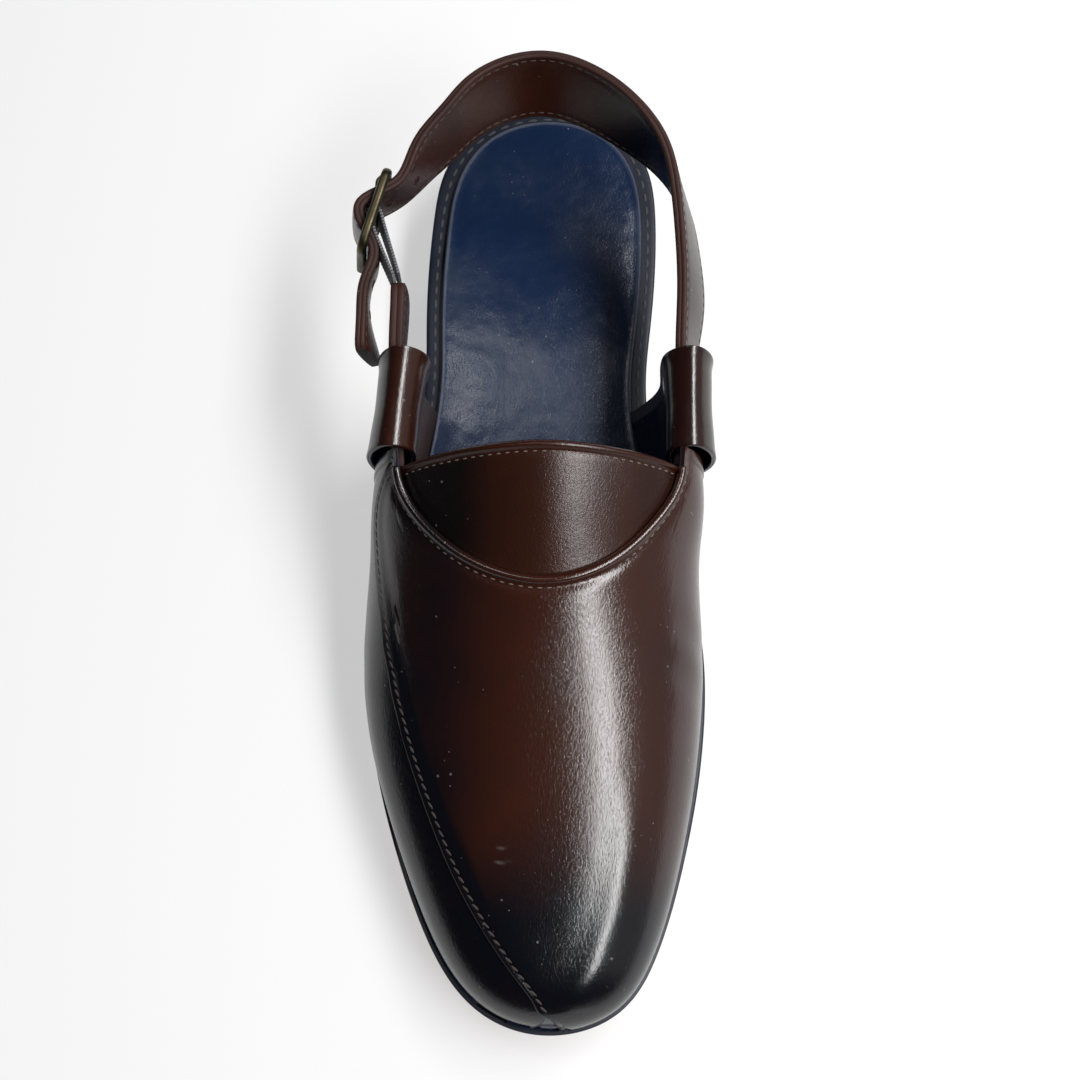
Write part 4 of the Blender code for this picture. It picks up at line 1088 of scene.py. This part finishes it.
# ---- Tongue -----------------------------------------------------------------------------------
# An instep apron of the same leather, sewn under the throat. Its rear edge is folded over and
# held by a row of small stitches.
TONGUE_REAR, TONGUE_UNDERLAP, TONGUE_SIDE_LENGTH = 155.0, 14.0, 8.0
TONGUE_DEPTH, TONGUE_THICKNESS = 2.45, 1.6
TONGUE_CORNER = CORNER_AROUND - math.radians(5.0)
FOLD_WIDTH, FOLD_HEIGHT, FOLD_STITCH = 1.6, 0.75, 2.6


def tongue_sag(around):
    """How far the apron's rear sinks on the outer side and rises beside its middle."""
    degrees = np.degrees(around)
    return 0.5 * bump_at(degrees - 62, 12) - 0.45 * bump_at(degrees - 98, 22)


apron_brown = leather_finish("apron_brown_leather", (0.024, 0.0057, 0.0025), (0.0022, 0.0013, 0.0013),
                             (0.013, 0.0040, 0.0026), coat=0.0, rough=(0.25, 0.32), folds=0.2, shine=0.36)
turn = throat_angles(TONGUE_CORNER, 110)[:, None]
front = np.minimum(throat_edge(turn) - TONGUE_UNDERLAP, TONGUE_REAR - TONGUE_SIDE_LENGTH)
share = np.concatenate([np.linspace(0, 0.6, 26), np.linspace(0.6, 1, 40)[1:]])[None, :]
station = front + (TONGUE_REAR - front) * share
around = np.broadcast_to(turn, station.shape)
behind = TONGUE_REAR - station
fold = FOLD_HEIGHT * np.sqrt(np.clip(1 - ((behind - FOLD_WIDTH / 2) / (FOLD_WIDTH / 2))**2, 0, 1))
seat = 0.2 * bump_at(behind - FOLD_STITCH, 0.7)
sag = tongue_sag(around) * smoothstep(0.1, 0.7, share)
face, _ = under_upper(station, around, TONGUE_DEPTH - fold + seat + sag)
inner, _ = under_upper(station, around, TONGUE_DEPTH + TONGUE_THICKNESS + sag)
core = (face + inner) / 2
first, last = core[:, :1], core[:, -1:]
points = np.concatenate([first, face, last + (0, 0.3, 0), inner[:, ::-1], first], axis=1)
closing = np.concatenate([first, core, last, core[:, ::-1], first], axis=1)
points = np.concatenate([closing[:1], points, closing[-1:]])
# Darker towards both sides: burnish, and on the outer side painted shade where the wing shades the apron
dark = np.interp(points[..., 0], (-30, -22, -12, 8, 24, 32), (1.0, 0.85, 0.35, 0.15, 0.25, 0.55))
# Lighter along the folded rear edge
lighter_fold_edge = smoothstep(153.0, 153.8, points[..., 1])
add_surface("tongue_apron", points, apron_brown, "tongue", "brown_leather", sharp=50,
            burnish=dark * (1 - 0.55 * lighter_fold_edge), rim=0.0,
            lining=np.arange(points.shape[1]) >= face.shape[1] + 3)
turn = throat_angles(TONGUE_CORNER - math.radians(1), 200)
seam_line = under_upper(np.full(200, TONGUE_REAR - FOLD_STITCH), turn, TONGUE_DEPTH + 0.2 + tongue_sag(turn))
add_stitches("tongue_stitches", [seam_line], edge_thread, "brown_leather", pitch=2.6, length=1.9, width=0.5)


# ---- Strap loops ------------------------------------------------------------------------------
# A band on each side rises from the waist, folds over the strap and goes down again inside. The
# foot side of the inner leg and the inside of the fold are navy.
LOOP_FRONT, LOOP_REAR, LOOP_HALF_WIDTH, LOOP_THICKNESS = 161.0, 188.6, 13.8, 1.6
# The crest follows the strap, which falls towards the front: the loop's height there is less by
# this share
LOOP_FALL = 0.17
OUTER_LOOP_SPLAY, INNER_LOOP_SPLAY = 0.12, 0.0
OUTER_LOOP = table(
    ("side", "height"),
    (-39.4, 17.0), (-42.2, 27.0), (-45.4, 38.0), (-48.0, 48.0), (-48.7, 56.0), (-46.8, 63.6),
    (-42.2, 68.2), (-37.6, 65.4), (-35.8, 58.0), (-37.2, 48.0), (-39.2, 38.0), (-39.0, 28.0),
    (-36.6, 17.4))
INNER_LOOP = table(
    ("side", "height"),
    (35.2, 17.0), (40.0, 27.0), (45.4, 38.0), (50.0, 48.0), (50.8, 56.0), (48.8, 63.6),
    (44.0, 68.2), (39.4, 65.4), (37.8, 58.0), (38.8, 48.0), (39.4, 38.0), (37.0, 28.0),
    (32.4, 17.4))
# How dark a loop is along its band, up the outer leg, over the crest and down the inner leg:
# burnish, and painted shade on the outer leg, which faces away from the lamp
LOOP_BURNISH_AND_SHADE = table(("share", "dark"), (0.0, 0.98), (0.44, 0.95), (0.475, 0.6), (0.50, 0.2), (0.54, 0.15),
                   (0.60, 0.45), (1.0, 0.45))


def ribbon(middle, up, profile):
    """A band carried along a line, closed at both ends.

    up runs from the line to the band's upper edge. The profile holds pairs: a share of up, and a
    distance out of the band's face in millimetres, square to it.
    """
    face = unit(np.cross(np.gradient(middle, axis=0), up))
    across, out = (np.broadcast_to(part, (len(middle), profile.shape[-2]))[..., None]
                   for part in (profile[..., 0], profile[..., 1]))
    rows = middle[:, None] + across * up[:, None] + out * face[:, None]
    return closed_ends(rows, rows[0].mean(axis=0), rows[-1].mean(axis=0)), face


def band_profile(half_width, thickness, ease, count, groove=0.0, crown=0.0):
    """Section of a flat band: two faces, eased edges, and a shallow groove between its layers."""
    half, inner = thickness / 2, 1 - ease / half_width
    turn = np.linspace(0, math.pi / 2, 5)[-2:0:-1]
    side = [(1 - groove / half_width, 0.0), (1.0, groove), (1.0, half - ease)]
    side += [(inner + ease * math.sin(t) / half_width, half - ease + ease * math.cos(t)) for t in turn]
    top = [(a, half + crown * (1 - (a / inner)**2)) for a in np.linspace(inner, -inner, count)]
    upper_half = side + top + [(-a, b) for a, b in side[::-1]]
    return np.array(upper_half + [(-a, -b) for a, b in upper_half[1:]])


def add_loop(name, rows, side_sign, splay, node):
    """One loop: its foot follows the sole's edge and slope, and its crest is level.

    Share runs up the outer leg, over the crest at a half and down the inner leg. The loop's edges
    flare out and its middle is drawn in, away from the sole and from the leg's end.
    """
    ends = np.array([LOOP_FRONT, LOOP_REAR])
    half, middle = outline(ends)
    foot_splay, = np.diff(middle + side_sign * half) / np.diff(ends)
    foot_slope, = np.diff(sole_top(ends)) / np.diff(ends)
    flat = joined(*rows.values())
    length = path_length(flat)
    share = np.linspace(0, 1, 150)
    side, height = spline(share * length[-1], length, flat).T
    low, high = height.min(), height.max()
    foot = (high - height) / (high - low)
    line = joined(side, ends.mean(), height)
    lean = foot * foot_splay + (1 - foot) * splay
    up = joined(lean, 1.0, foot * foot_slope) * LOOP_HALF_WIDTH
    across, out = band_profile(LOOP_HALF_WIDTH, LOOP_THICKNESS, 0.55, 31, groove=0.12).T
    flare = np.where(across < 0, 0.3, 0.8) * np.clip((np.abs(across) - 0.66) / 0.34, 0, 1)**2
    swell = smoothstep(0.12, 0.3, share) * smoothstep(0.95, 0.7, share)
    bent = out - side_sign * swell[:, None] * (flare - 0.35 * bump_at(across, 0.45))
    points, _ = ribbon(line, up, joined(across, bent))
    points[..., 2] = low + (points[..., 2] - low) * (1 - LOOP_FALL * (1 - across) / 2)
    medial = side_sign > 0
    inside = side_sign * out > 0.2
    inner_leg = (share > 0.66)[:, None] & ~inside
    pale = np.where(across > 0.75, 0.4, 0.0) if medial else 0.15
    # Burnish with painted shade on the outer leg; the medial loop is darker all over
    shade = np.maximum(np.interp(share, *LOOP_BURNISH_AND_SHADE.values()), 0.6 * medial)
    add_surface(name, points, bright_brown, node, "brown_leather", sharp=50, burnish=capped(shade[:, None]),
                lining=capped(inside | (inner_leg & medial)), rim=capped(inner_leg * pale))


bright_brown = leather_finish("bright_brown_leather", (0.022, 0.0055, 0.0028), (0.0012, 0.0012, 0.0018),
                              (0.012, 0.0036, 0.0024), coat=0.06, rough=(0.18, 0.24), grain=0.25, folds=0.06)
add_loop("outer_strap_loop", OUTER_LOOP, -1, OUTER_LOOP_SPLAY, "lateral_loop")
add_loop("inner_strap_loop", INNER_LOOP, 1, INNER_LOOP_SPLAY, "medial_loop")


# ---- Straps -----------------------------------------------------------------------------------
# The back strap runs from the inner wing round the heel and through the buckle; the short side
# strap comes from the outer wing. Both are two layers of leather sewn together along the edges.
STRAP_THICKNESS, SIDE_STRAP_THICKNESS, STRAP_HALF_WIDTH, STRAP_STITCH = 3.2, 4.2, 10.0, 1.9
# The share of a band's half width from which its cut edge shows
CUT_EDGE = 0.93
STRAP_TURN_STATION = 230.0
BUCKLE_MIDDLE = np.array((-50.7, 233.8, 62.0))
BUCKLE_TURN, BUCKLE_SLOPE, BUCKLE_LEAN = math.radians(16.5), math.radians(8.0), math.radians(-10.0)
STRAP_COLUMNS = ("side", "station", "height", "lean", "width")
BACK_STRAP = table(
    STRAP_COLUMNS,
    (42.3, 158.6, 48.0, -14.0, 13.0), (42.8, 163.0, 49.0, -13.0, 13.0), (43.6, 175.0, 52.2, -15.0, 15.0),
    (43.9, 192.0, 56.2, -17.0, 18.0), (45.5, 208.0, 59.0, -22.0, 19.5), (44.8, 226.0, 62.3, -20.0, 20.5),
    (42.7, 241.0, 64.3, -15.0, 21.5), (37.2, 254.5, 66.0, -3.0, 22.0), (26.7, 266.4, 67.0, 11.0, 22.5),
    (15.1, 274.8, 67.6, 18.0, 22.5), (1.9, 279.3, 67.8, 20.0, 22.5), (-10.3, 277.4, 67.6, 19.0, 22.5),
    (-20.3, 271.4, 67.2, 16.0, 22.0), (-27.4, 263.6, 66.6, 12.0, 21.0), (-35.0, 254.6, 65.4, 8.0, 20.0))
# How the strap passes the buckle: inside its rear bar, over the middle bar, inside the front bar
BUCKLE_PASS = table(
    ("along", "out", "twist", "width"),
    (-12.6, -4.8, 4.0, 19.5), (-6.3, 0.4, 3.0, 19.5), (0.0, 4.8, 0.0, 19.5), (6.3, 0.8, -1.0, 19.5),
    (12.6, -3.8, 0.0, 19.5), (16.0, -3.9, -1.0, 19.5))
STRAP_TAIL = table(
    STRAP_COLUMNS,
    (-53.2, 208.0, 58.6, -5.0, 20.0), (-52.4, 199.0, 57.2, 3.0, 20.0), (-51.2, 190.6, 56.2, 12.0, 19.0))
SIDE_STRAP = table(
    STRAP_COLUMNS,
    (-42.9, 158.6, 47.4, -10.0, 12.0), (-42.9, 163.0, 48.4, -9.0, 12.5), (-42.5, 175.0, 52.0, -6.0, 14.5),
    (-42.6, 190.0, 57.0, -3.0, 17.0), (-42.0, 203.0, 60.4, -1.0, 18.5), (-41.9, 210.0, 61.2, 0.0, 18.0))
# Punched holes: distances from the buckle's middle, and the section of a raised rim and its floor,
# which is painted dark as the hole's shade
HOLE_PLACES = (-18.3, -7.5, 14.1, 24.9, 35.7)
HOLE_SECTION = table(("radius", "out", "dark"), (0.0, 0.02, 1.3), (0.8, 0.02, 1.3), (0.9, 0.1, 0.4),
                     (1.15, 0.17, 0.0), (1.5, 0.08, 0.1), (1.6, -0.3, 0.3), (0.0, -0.3, 0.3))


def buckle_axes():
    """Axes of the buckle: along towards its front, up its height, and out of the shoe."""
    level = math.cos(BUCKLE_SLOPE)
    along = np.array((-math.sin(BUCKLE_TURN) * level, -math.cos(BUCKLE_TURN) * level,
                      -math.sin(BUCKLE_SLOPE)))
    level_up = unit(np.cross((-math.cos(BUCKLE_TURN), math.sin(BUCKLE_TURN), 0.0), along))
    up = math.cos(BUCKLE_LEAN) * level_up + math.sin(BUCKLE_LEAN) * np.cross(along, level_up)
    return np.array((along, up, np.cross(along, up)))


def in_buckle(points):
    """Points given by their distances along, up and out from the buckle's middle."""
    return BUCKLE_MIDDLE + np.asarray(points, float) @ buckle_axes()


def strap_knots(rows):
    """Middle points, directions of the width and half widths of a strap at its table's rows."""
    side, station, height, lean, width = rows.values()
    outward = unit(joined(side, np.maximum(station - STRAP_TURN_STATION, 0), 0.0))
    lean = np.radians(lean)[:, None]
    up = np.cos(lean) * (0, 0, 1.0) + np.sin(lean) * outward
    return joined(side, station, height), up, width[:, None] / 2


def buckle_knots():
    """The same for the stretch of strap that bends round the buckle's bars."""
    along, out, twist, width = BUCKLE_PASS.values()
    twist = np.radians(twist)[:, None]
    up = np.cos(twist) * buckle_axes()[1] + np.sin(twist) * buckle_axes()[2]
    return in_buckle(joined(along, 0.0, out)), up, width[:, None] / 2


def smooth_strap(knots, count):
    """A strap's middle line and width directions, smooth through its knots."""
    line, up, half_width = knots
    length = path_length(line)
    at = np.linspace(0, length[-1], count)
    middle, up = spline(at, length, line), spline(at, length, up)
    along = unit(np.gradient(middle, axis=0))
    up = up - np.sum(up * along, axis=1, keepdims=True) * along
    return middle, up * spline(at, length, half_width) / np.linalg.norm(up, axis=1, keepdims=True)


def add_strap(name, node, middle, up, thickness, burnish):
    """A strap with eased, slightly grooved edges and stitch lines along both edges of both faces.

    Its last few millimetres narrow to a rounded end.
    """
    middle = np.concatenate([middle, middle[-1:] + 0.05 * unit(middle[-1:] - middle[-2:-1])])
    from_end = path_length(middle)[-1] - path_length(middle)
    narrow = np.interp(from_end, (0, 0.6, 1.6, 3.2), (0.80, 0.90, 0.97, 1.0))[:, None]
    up = np.concatenate([up, up[-1:]]) * narrow
    half_width = np.linalg.norm(up, axis=1)
    profile = band_profile(STRAP_HALF_WIDTH, thickness, 0.85, 25, groove=0.1, crown=0.25)
    from_stitch = np.abs(np.abs(profile[:, 0]) - (1 - STRAP_STITCH / STRAP_HALF_WIDTH))
    press = 0.18 * bump_at(from_stitch, 0.05) * np.sign(profile[:, 1])
    profile = joined(profile[:, 0], profile[:, 1] - press)
    points, face = ribbon(middle, up, profile)
    cut = (np.abs(profile[:, 0]) > CUT_EDGE) * np.ones((len(points), 1))
    dark = np.where(cut[1:-1] > 0, 0.25, burnish(middle, profile[:, 1]))
    dark[-1], cut[-2:] = 1.0, 1.3
    add_surface(name, points, strap_brown, node, "brown_leather", sharp=50, burnish=capped(dark),
                lining=0.0, rim=0.12 * cut)
    inset = (1 - STRAP_STITCH / half_width)[:, None] * up
    lines = [(middle + edge * inset + sign * (thickness / 2 - 0.02) * face, sign * face)
             for sign in (1, -1) for edge in (1, -1)]
    add_stitches(name + "_stitches", [(spot[2:-2], out[2:-2]) for spot, out in lines], seam_thread,
                 "brown_leather", pitch=2.9, length=2.3, width=0.5)


def back_strap_shade(middle, out):
    """Brown inside at the heel, blue-black towards the inner side and on the outer face."""
    side = middle[:, :1]
    inside = 0.30 + 0.60 * smoothstep(8, 34, side) - 0.1 * smoothstep(-20, -40, side)
    return np.where(out < 0, inside, np.interp(side, (-40, 0, 40), (0.85, 0.8, 0.7)))


strap_brown = leather_finish("strap_brown_leather", (0.030, 0.0085, 0.0046), (0.0016, 0.0015, 0.0022),
                             (0.016, 0.0050, 0.0032), coat=0.0, rough=(0.22, 0.30), grain=0.3, shine=0.22)
knots = zip(strap_knots(BACK_STRAP), buckle_knots(), strap_knots(STRAP_TAIL))
middle, up = smooth_strap([np.concatenate(stretches) for stretches in knots], 420)
add_strap("back_strap_band", "back_strap", middle, up, STRAP_THICKNESS, back_strap_shade)

# Punched holes on both faces of the strap: raised rings round floors with painted shade
at_buckle = path_length(middle)[np.argmin(np.linalg.norm(middle - BUCKLE_MIDDLE, axis=1))]
at = np.array(HOLE_PLACES) + at_buckle
rise, ahead = (unit(along_line(middle, at, values)) for values in (up, np.gradient(middle, axis=0)))
turn = np.linspace(0, FULL_TURN, 15)[:, None]
radius, lift = HOLE_SECTION["radius"][:, None, None], HOLE_SECTION["out"][:, None, None]
spot, out = along_line(middle, at), np.cross(ahead, rise)
spot, out, rise, ahead = (part[:, None, None] for part in (spot, out, rise, ahead))
points = np.concatenate([
    spot + radius * (np.cos(turn) * ahead + np.sin(turn) * rise)
    + sign * (STRAP_THICKNESS / 2 + 0.25 + lift) * out for sign in (1, -1)])
dark = np.broadcast_to(HOLE_SECTION["dark"][:, None], points.shape[:3])
points = points.reshape(-1, 3)
add_piece("punched_holes", points, block_faces(len(radius), len(turn), points), strap_brown, None,
          "brown_leather", burnish=dark, lining=0 * dark, rim=0.1 + 0 * dark)
middle, up = smooth_strap(strap_knots(SIDE_STRAP), 70)
add_strap("side_strap_band", "side_strap", middle, up, SIDE_STRAP_THICKNESS,
          lambda middle, out: np.where(out > 0, 0.35, 0.85))


# ---- Buckle -----------------------------------------------------------------------------------
# Cast brass with an aged brown finish that is rubbed bright on the rods' outer edges: a frame, a
# middle bar that carries the elastic, and a prong through the strap.
BUCKLE_LENGTH, BUCKLE_HEIGHT, BUCKLE_CORNER = 28.0, 27.0, 3.5
BUCKLE_ROD, BUCKLE_BAR, PRONG_ROD = 1.4, 1.2, 0.8
PRONG = table(("along", "up", "out"), (-1.5, 0.0, 0.3), (-3.0, 0.0, 0.4), (-7.5, 0.0, 1.4),
              (-12.0, 0.0, 2.6), (-13.6, 0.0, 2.5), (-15.2, 0.0, 1.8))


def brass_finish(name):
    """Aged brass: cloudy brown metal with fine pits, bright where the attribute says."""
    finish = Finish(name, Metallic=1.0)
    clouds = finish.noise(160.0, 6.0)
    metal = finish.blend(finish.spread(clouds, 0.35, 0.65), (0.060, 0.050, 0.029), (0.028, 0.024, 0.016))
    metal = finish.blend(finish.attribute("rubbed"), metal, (0.13, 0.115, 0.075))
    return finish.dress(Base_Color=metal, Roughness=finish.spread(clouds, 0.3, 0.7, 0.34, 0.5),
                        Normal=finish.bump(finish.noise(1500.0, 3.0), 0.3, 0.05))


def rounded_rectangle(length, height, corner, count):
    """Closed line in the buckle's plane, evenly spread, as (along, up, out)."""
    a, u = length / 2 - corner, height / 2 - corner
    corners = []
    for quarter, (x, y) in enumerate(((a, u), (-a, u), (-a, -u), (a, -u))):
        angle = np.linspace(0, math.pi / 2, 12) + quarter * math.pi / 2
        corners.append(joined(x + corner * np.cos(angle), y + corner * np.sin(angle), 0.0))
    line = np.concatenate(corners + [corners[0][:1]])
    return along_line(line, np.linspace(0, path_length(line)[-1], count))


def rod_section(radius, sides=24, power=2.8):
    """Section of a cast rod: a circle whose sides are a little flat."""
    turn = np.linspace(0, FULL_TURN, sides + 1)
    c, s = np.cos(turn), np.sin(turn)
    scale = radius / (np.abs(c)**power + np.abs(s)**power)**(1 / power)
    return scale * c, scale * s


brass = brass_finish("aged_brass")
line = rounded_rectangle(BUCKLE_LENGTH - 2 * BUCKLE_ROD, BUCKLE_HEIGHT - 2 * BUCKLE_ROD, BUCKLE_CORNER, 200)
along = np.roll(line[:-1], -1, axis=0) - np.roll(line[:-1], 1, axis=0)
plane_out = np.array((0.0, 0.0, 1.0))
outward = np.cross(unit(np.concatenate([along, along[:1]])), plane_out)
a, b = rod_section(BUCKLE_ROD)
rows = in_buckle(line[:, None] + a[:, None] * outward[:, None] + b[:, None] * plane_out)
add_surface("buckle_frame_rod", rows, brass, "buckle_frame", "antique_brass",
            rubbed=np.clip(0.8 * b / BUCKLE_ROD, 0, 1))
share = np.linspace(-1, 1, 20)
line = in_buckle(joined(0.0, share * (BUCKLE_HEIGHT / 2 - BUCKLE_ROD), 0.0))
buckle_out = buckle_axes()[2]
add_surface("buckle_middle_bar", tube(line, BUCKLE_BAR, buckle_out, sides=20), brass, "buckle_frame",
            "antique_brass", rubbed=0.1)
share = np.linspace(0, 1, 40)
line = in_buckle(spline(5 * share, np.arange(6), joined(*PRONG.values())))
points = tube(line, PRONG_ROD * np.interp(share, (0, 0.9, 1), (1.0, 0.95, 0.55)), buckle_out, sides=16)
add_surface("buckle_prong_pin", points, brass, "buckle_prong", "antique_brass", rubbed=0.3)


# ---- Elastic ----------------------------------------------------------------------------------
# Black ribbed elastic web, doubled round the middle bar and sewn into the side strap's end.
ELASTIC_WIDTH, ELASTIC_THICKNESS, ELASTIC_RIB = 16.0, 0.9, 1.1
ELASTIC_HALF_GAP, ELASTIC_START = 0.4, 1.8


def web_finish(name):
    """Woven elastic: fine cells of two greys, paler on the ribs that show at its edges."""
    finish = Finish(name, Roughness=0.75, Specular_IOR_Level=0.3, Sheen_Weight=0.4)
    weave = finish.cells(1900.0)
    tone = finish.blend(finish.spread(weave, 0.1, 0.5), (0.030, 0.031, 0.036), (0.010, 0.010, 0.013))
    tone = finish.blend(finish.attribute("rib"), tone, (0.16, 0.16, 0.17))
    return finish.dress(Base_Color=tone, Normal=finish.bump(weave, 0.7, 0.1))


up_bar = buckle_axes()[1]
start = np.array([SIDE_STRAP[name][-1] for name in STRAP_COLUMNS[:3]])
towards = BUCKLE_MIDDLE - start
towards = unit(towards - (towards @ up_bar) * up_bar)
start = start + ELASTIC_START * towards
aside = np.cross(towards, up_bar)
turn = np.radians(np.linspace(-90, 90, 21))[:, None]
around_bar = BUCKLE_BAR + 0.3 + ELASTIC_THICKNESS / 2
wrap = BUCKLE_MIDDLE + around_bar * (np.cos(turn) * towards + np.sin(turn) * aside)
share = np.linspace(0, 1, 151)[:-1, None]
layer = (ELASTIC_HALF_GAP + ELASTIC_THICKNESS / 2) * aside
out = start - layer + share * (wrap[0] - start + layer)
back = (start + layer + share * (wrap[-1] - start - layer))[::-1]
middle = np.concatenate([out, wrap, back])
share = np.concatenate([share, np.ones((len(wrap), 1)), share[::-1]])
ripple = 0.5 + 0.5 * np.cos(FULL_TURN * path_length(middle) / ELASTIC_RIB)[:, None]
up = (share * up_bar + (1 - share) * (0, 0, 1.0)) * ELASTIC_WIDTH / 2
up *= 1 - 0.07 * np.sin(math.pi * share) + 0.02 * ripple
face = np.linspace(0.98, -0.98, 41)
across = np.concatenate([face, [-1.0], -face, [1.0, 0.98]])
sign = np.concatenate([0 * face + 1, [0.0], 0 * face - 1, [0.0, 1.0]])
half = ELASTIC_THICKNESS / 2 - 0.12 * (1 - ripple)
points, _ = ribbon(middle, up, joined(across, sign * half))
add_surface("elastic_web", points, web_finish("black_elastic_web"), "elastic_tab", "elastic_web",
            rib=capped(ripple * (np.abs(across) > CUT_EDGE)))


# ---- Camera, floor and light ------------------------------------------------------------------
# A pale studio floor. A long soft lamp over the inner side gives the highlight on the vamp, a wide
# low lamp lights that side, and a small one brightens the strap behind the heel.
floor_finish = Finish("pale_floor", Base_Color=(0.32, 0.32, 0.32, 1), Roughness=0.9,
                      Specular_IOR_Level=0.0, Emission_Color=(1.0, 1.0, 1.0, 1), Emission_Strength=0.52)
floor_mesh = bpy.data.meshes.new("floor")
floor_half = 30
floor_corners = [(x * floor_half, y * floor_half, 0) for x, y in ((-1, -1), (1, -1), (1, 1), (-1, 1))]
floor_mesh.from_pydata(floor_corners, [], [(0, 1, 2, 3)])
floor_mesh.materials.append(floor_finish.material)
floor = bpy.data.objects.new("floor", floor_mesh)
bpy.context.scene.collection.objects.link(floor)

world = bpy.data.worlds.new("studio")
world.use_nodes = True
background = world.node_tree.nodes["Background"]
background.inputs["Color"].default_value = (0.95, 0.97, 1.0, 1)
background.inputs["Strength"].default_value = 0.04
bpy.context.scene.world = world


def add_lamp(name, place, target, size, power):
    """A rectangular area lamp that faces a target; size is its two sides in metres."""
    lamp = bpy.data.lights.new(name, "AREA")
    lamp.shape = "RECTANGLE"
    lamp.size, lamp.size_y = size
    lamp.energy = power
    holder = bpy.data.objects.new(name, lamp)
    holder.location = place
    x, y, z = np.array(target) - np.array(place)
    flat = math.hypot(x, y)
    turn = math.atan2(y, x) - math.pi / 2 if flat > 1e-6 else 0.0
    holder.rotation_euler = (math.atan2(flat, -z), 0, turn)
    holder.visible_camera = False
    bpy.context.scene.collection.objects.link(holder)


add_lamp("softbox", (0.610, -0.05, 1.05), (0.610, -0.05, 0), (0.32, 1.60), 33)
add_lamp("side_wall", (1.20, -0.05, 0.62), (0.0, -0.05, 0.05), (2.0, 1.1), 2.6)
add_lamp("rear_fill", (-0.20, 0.20, 1.0), (0.0, 0.04, 0.03), (0.22, 0.22), 1.3)

camera = bpy.data.cameras.new("camera")
camera.lens = 46.11
camera.shift_y = -0.0309
view = bpy.data.objects.new("camera", camera)
view.location = (0.00293, -0.13757, 0.43247)
view.rotation_euler = (math.radians(19.22), 0, 0)
bpy.context.scene.collection.objects.link(view)
bpy.context.scene.camera = view
bpy.context.scene.view_settings.view_transform = "Standard"
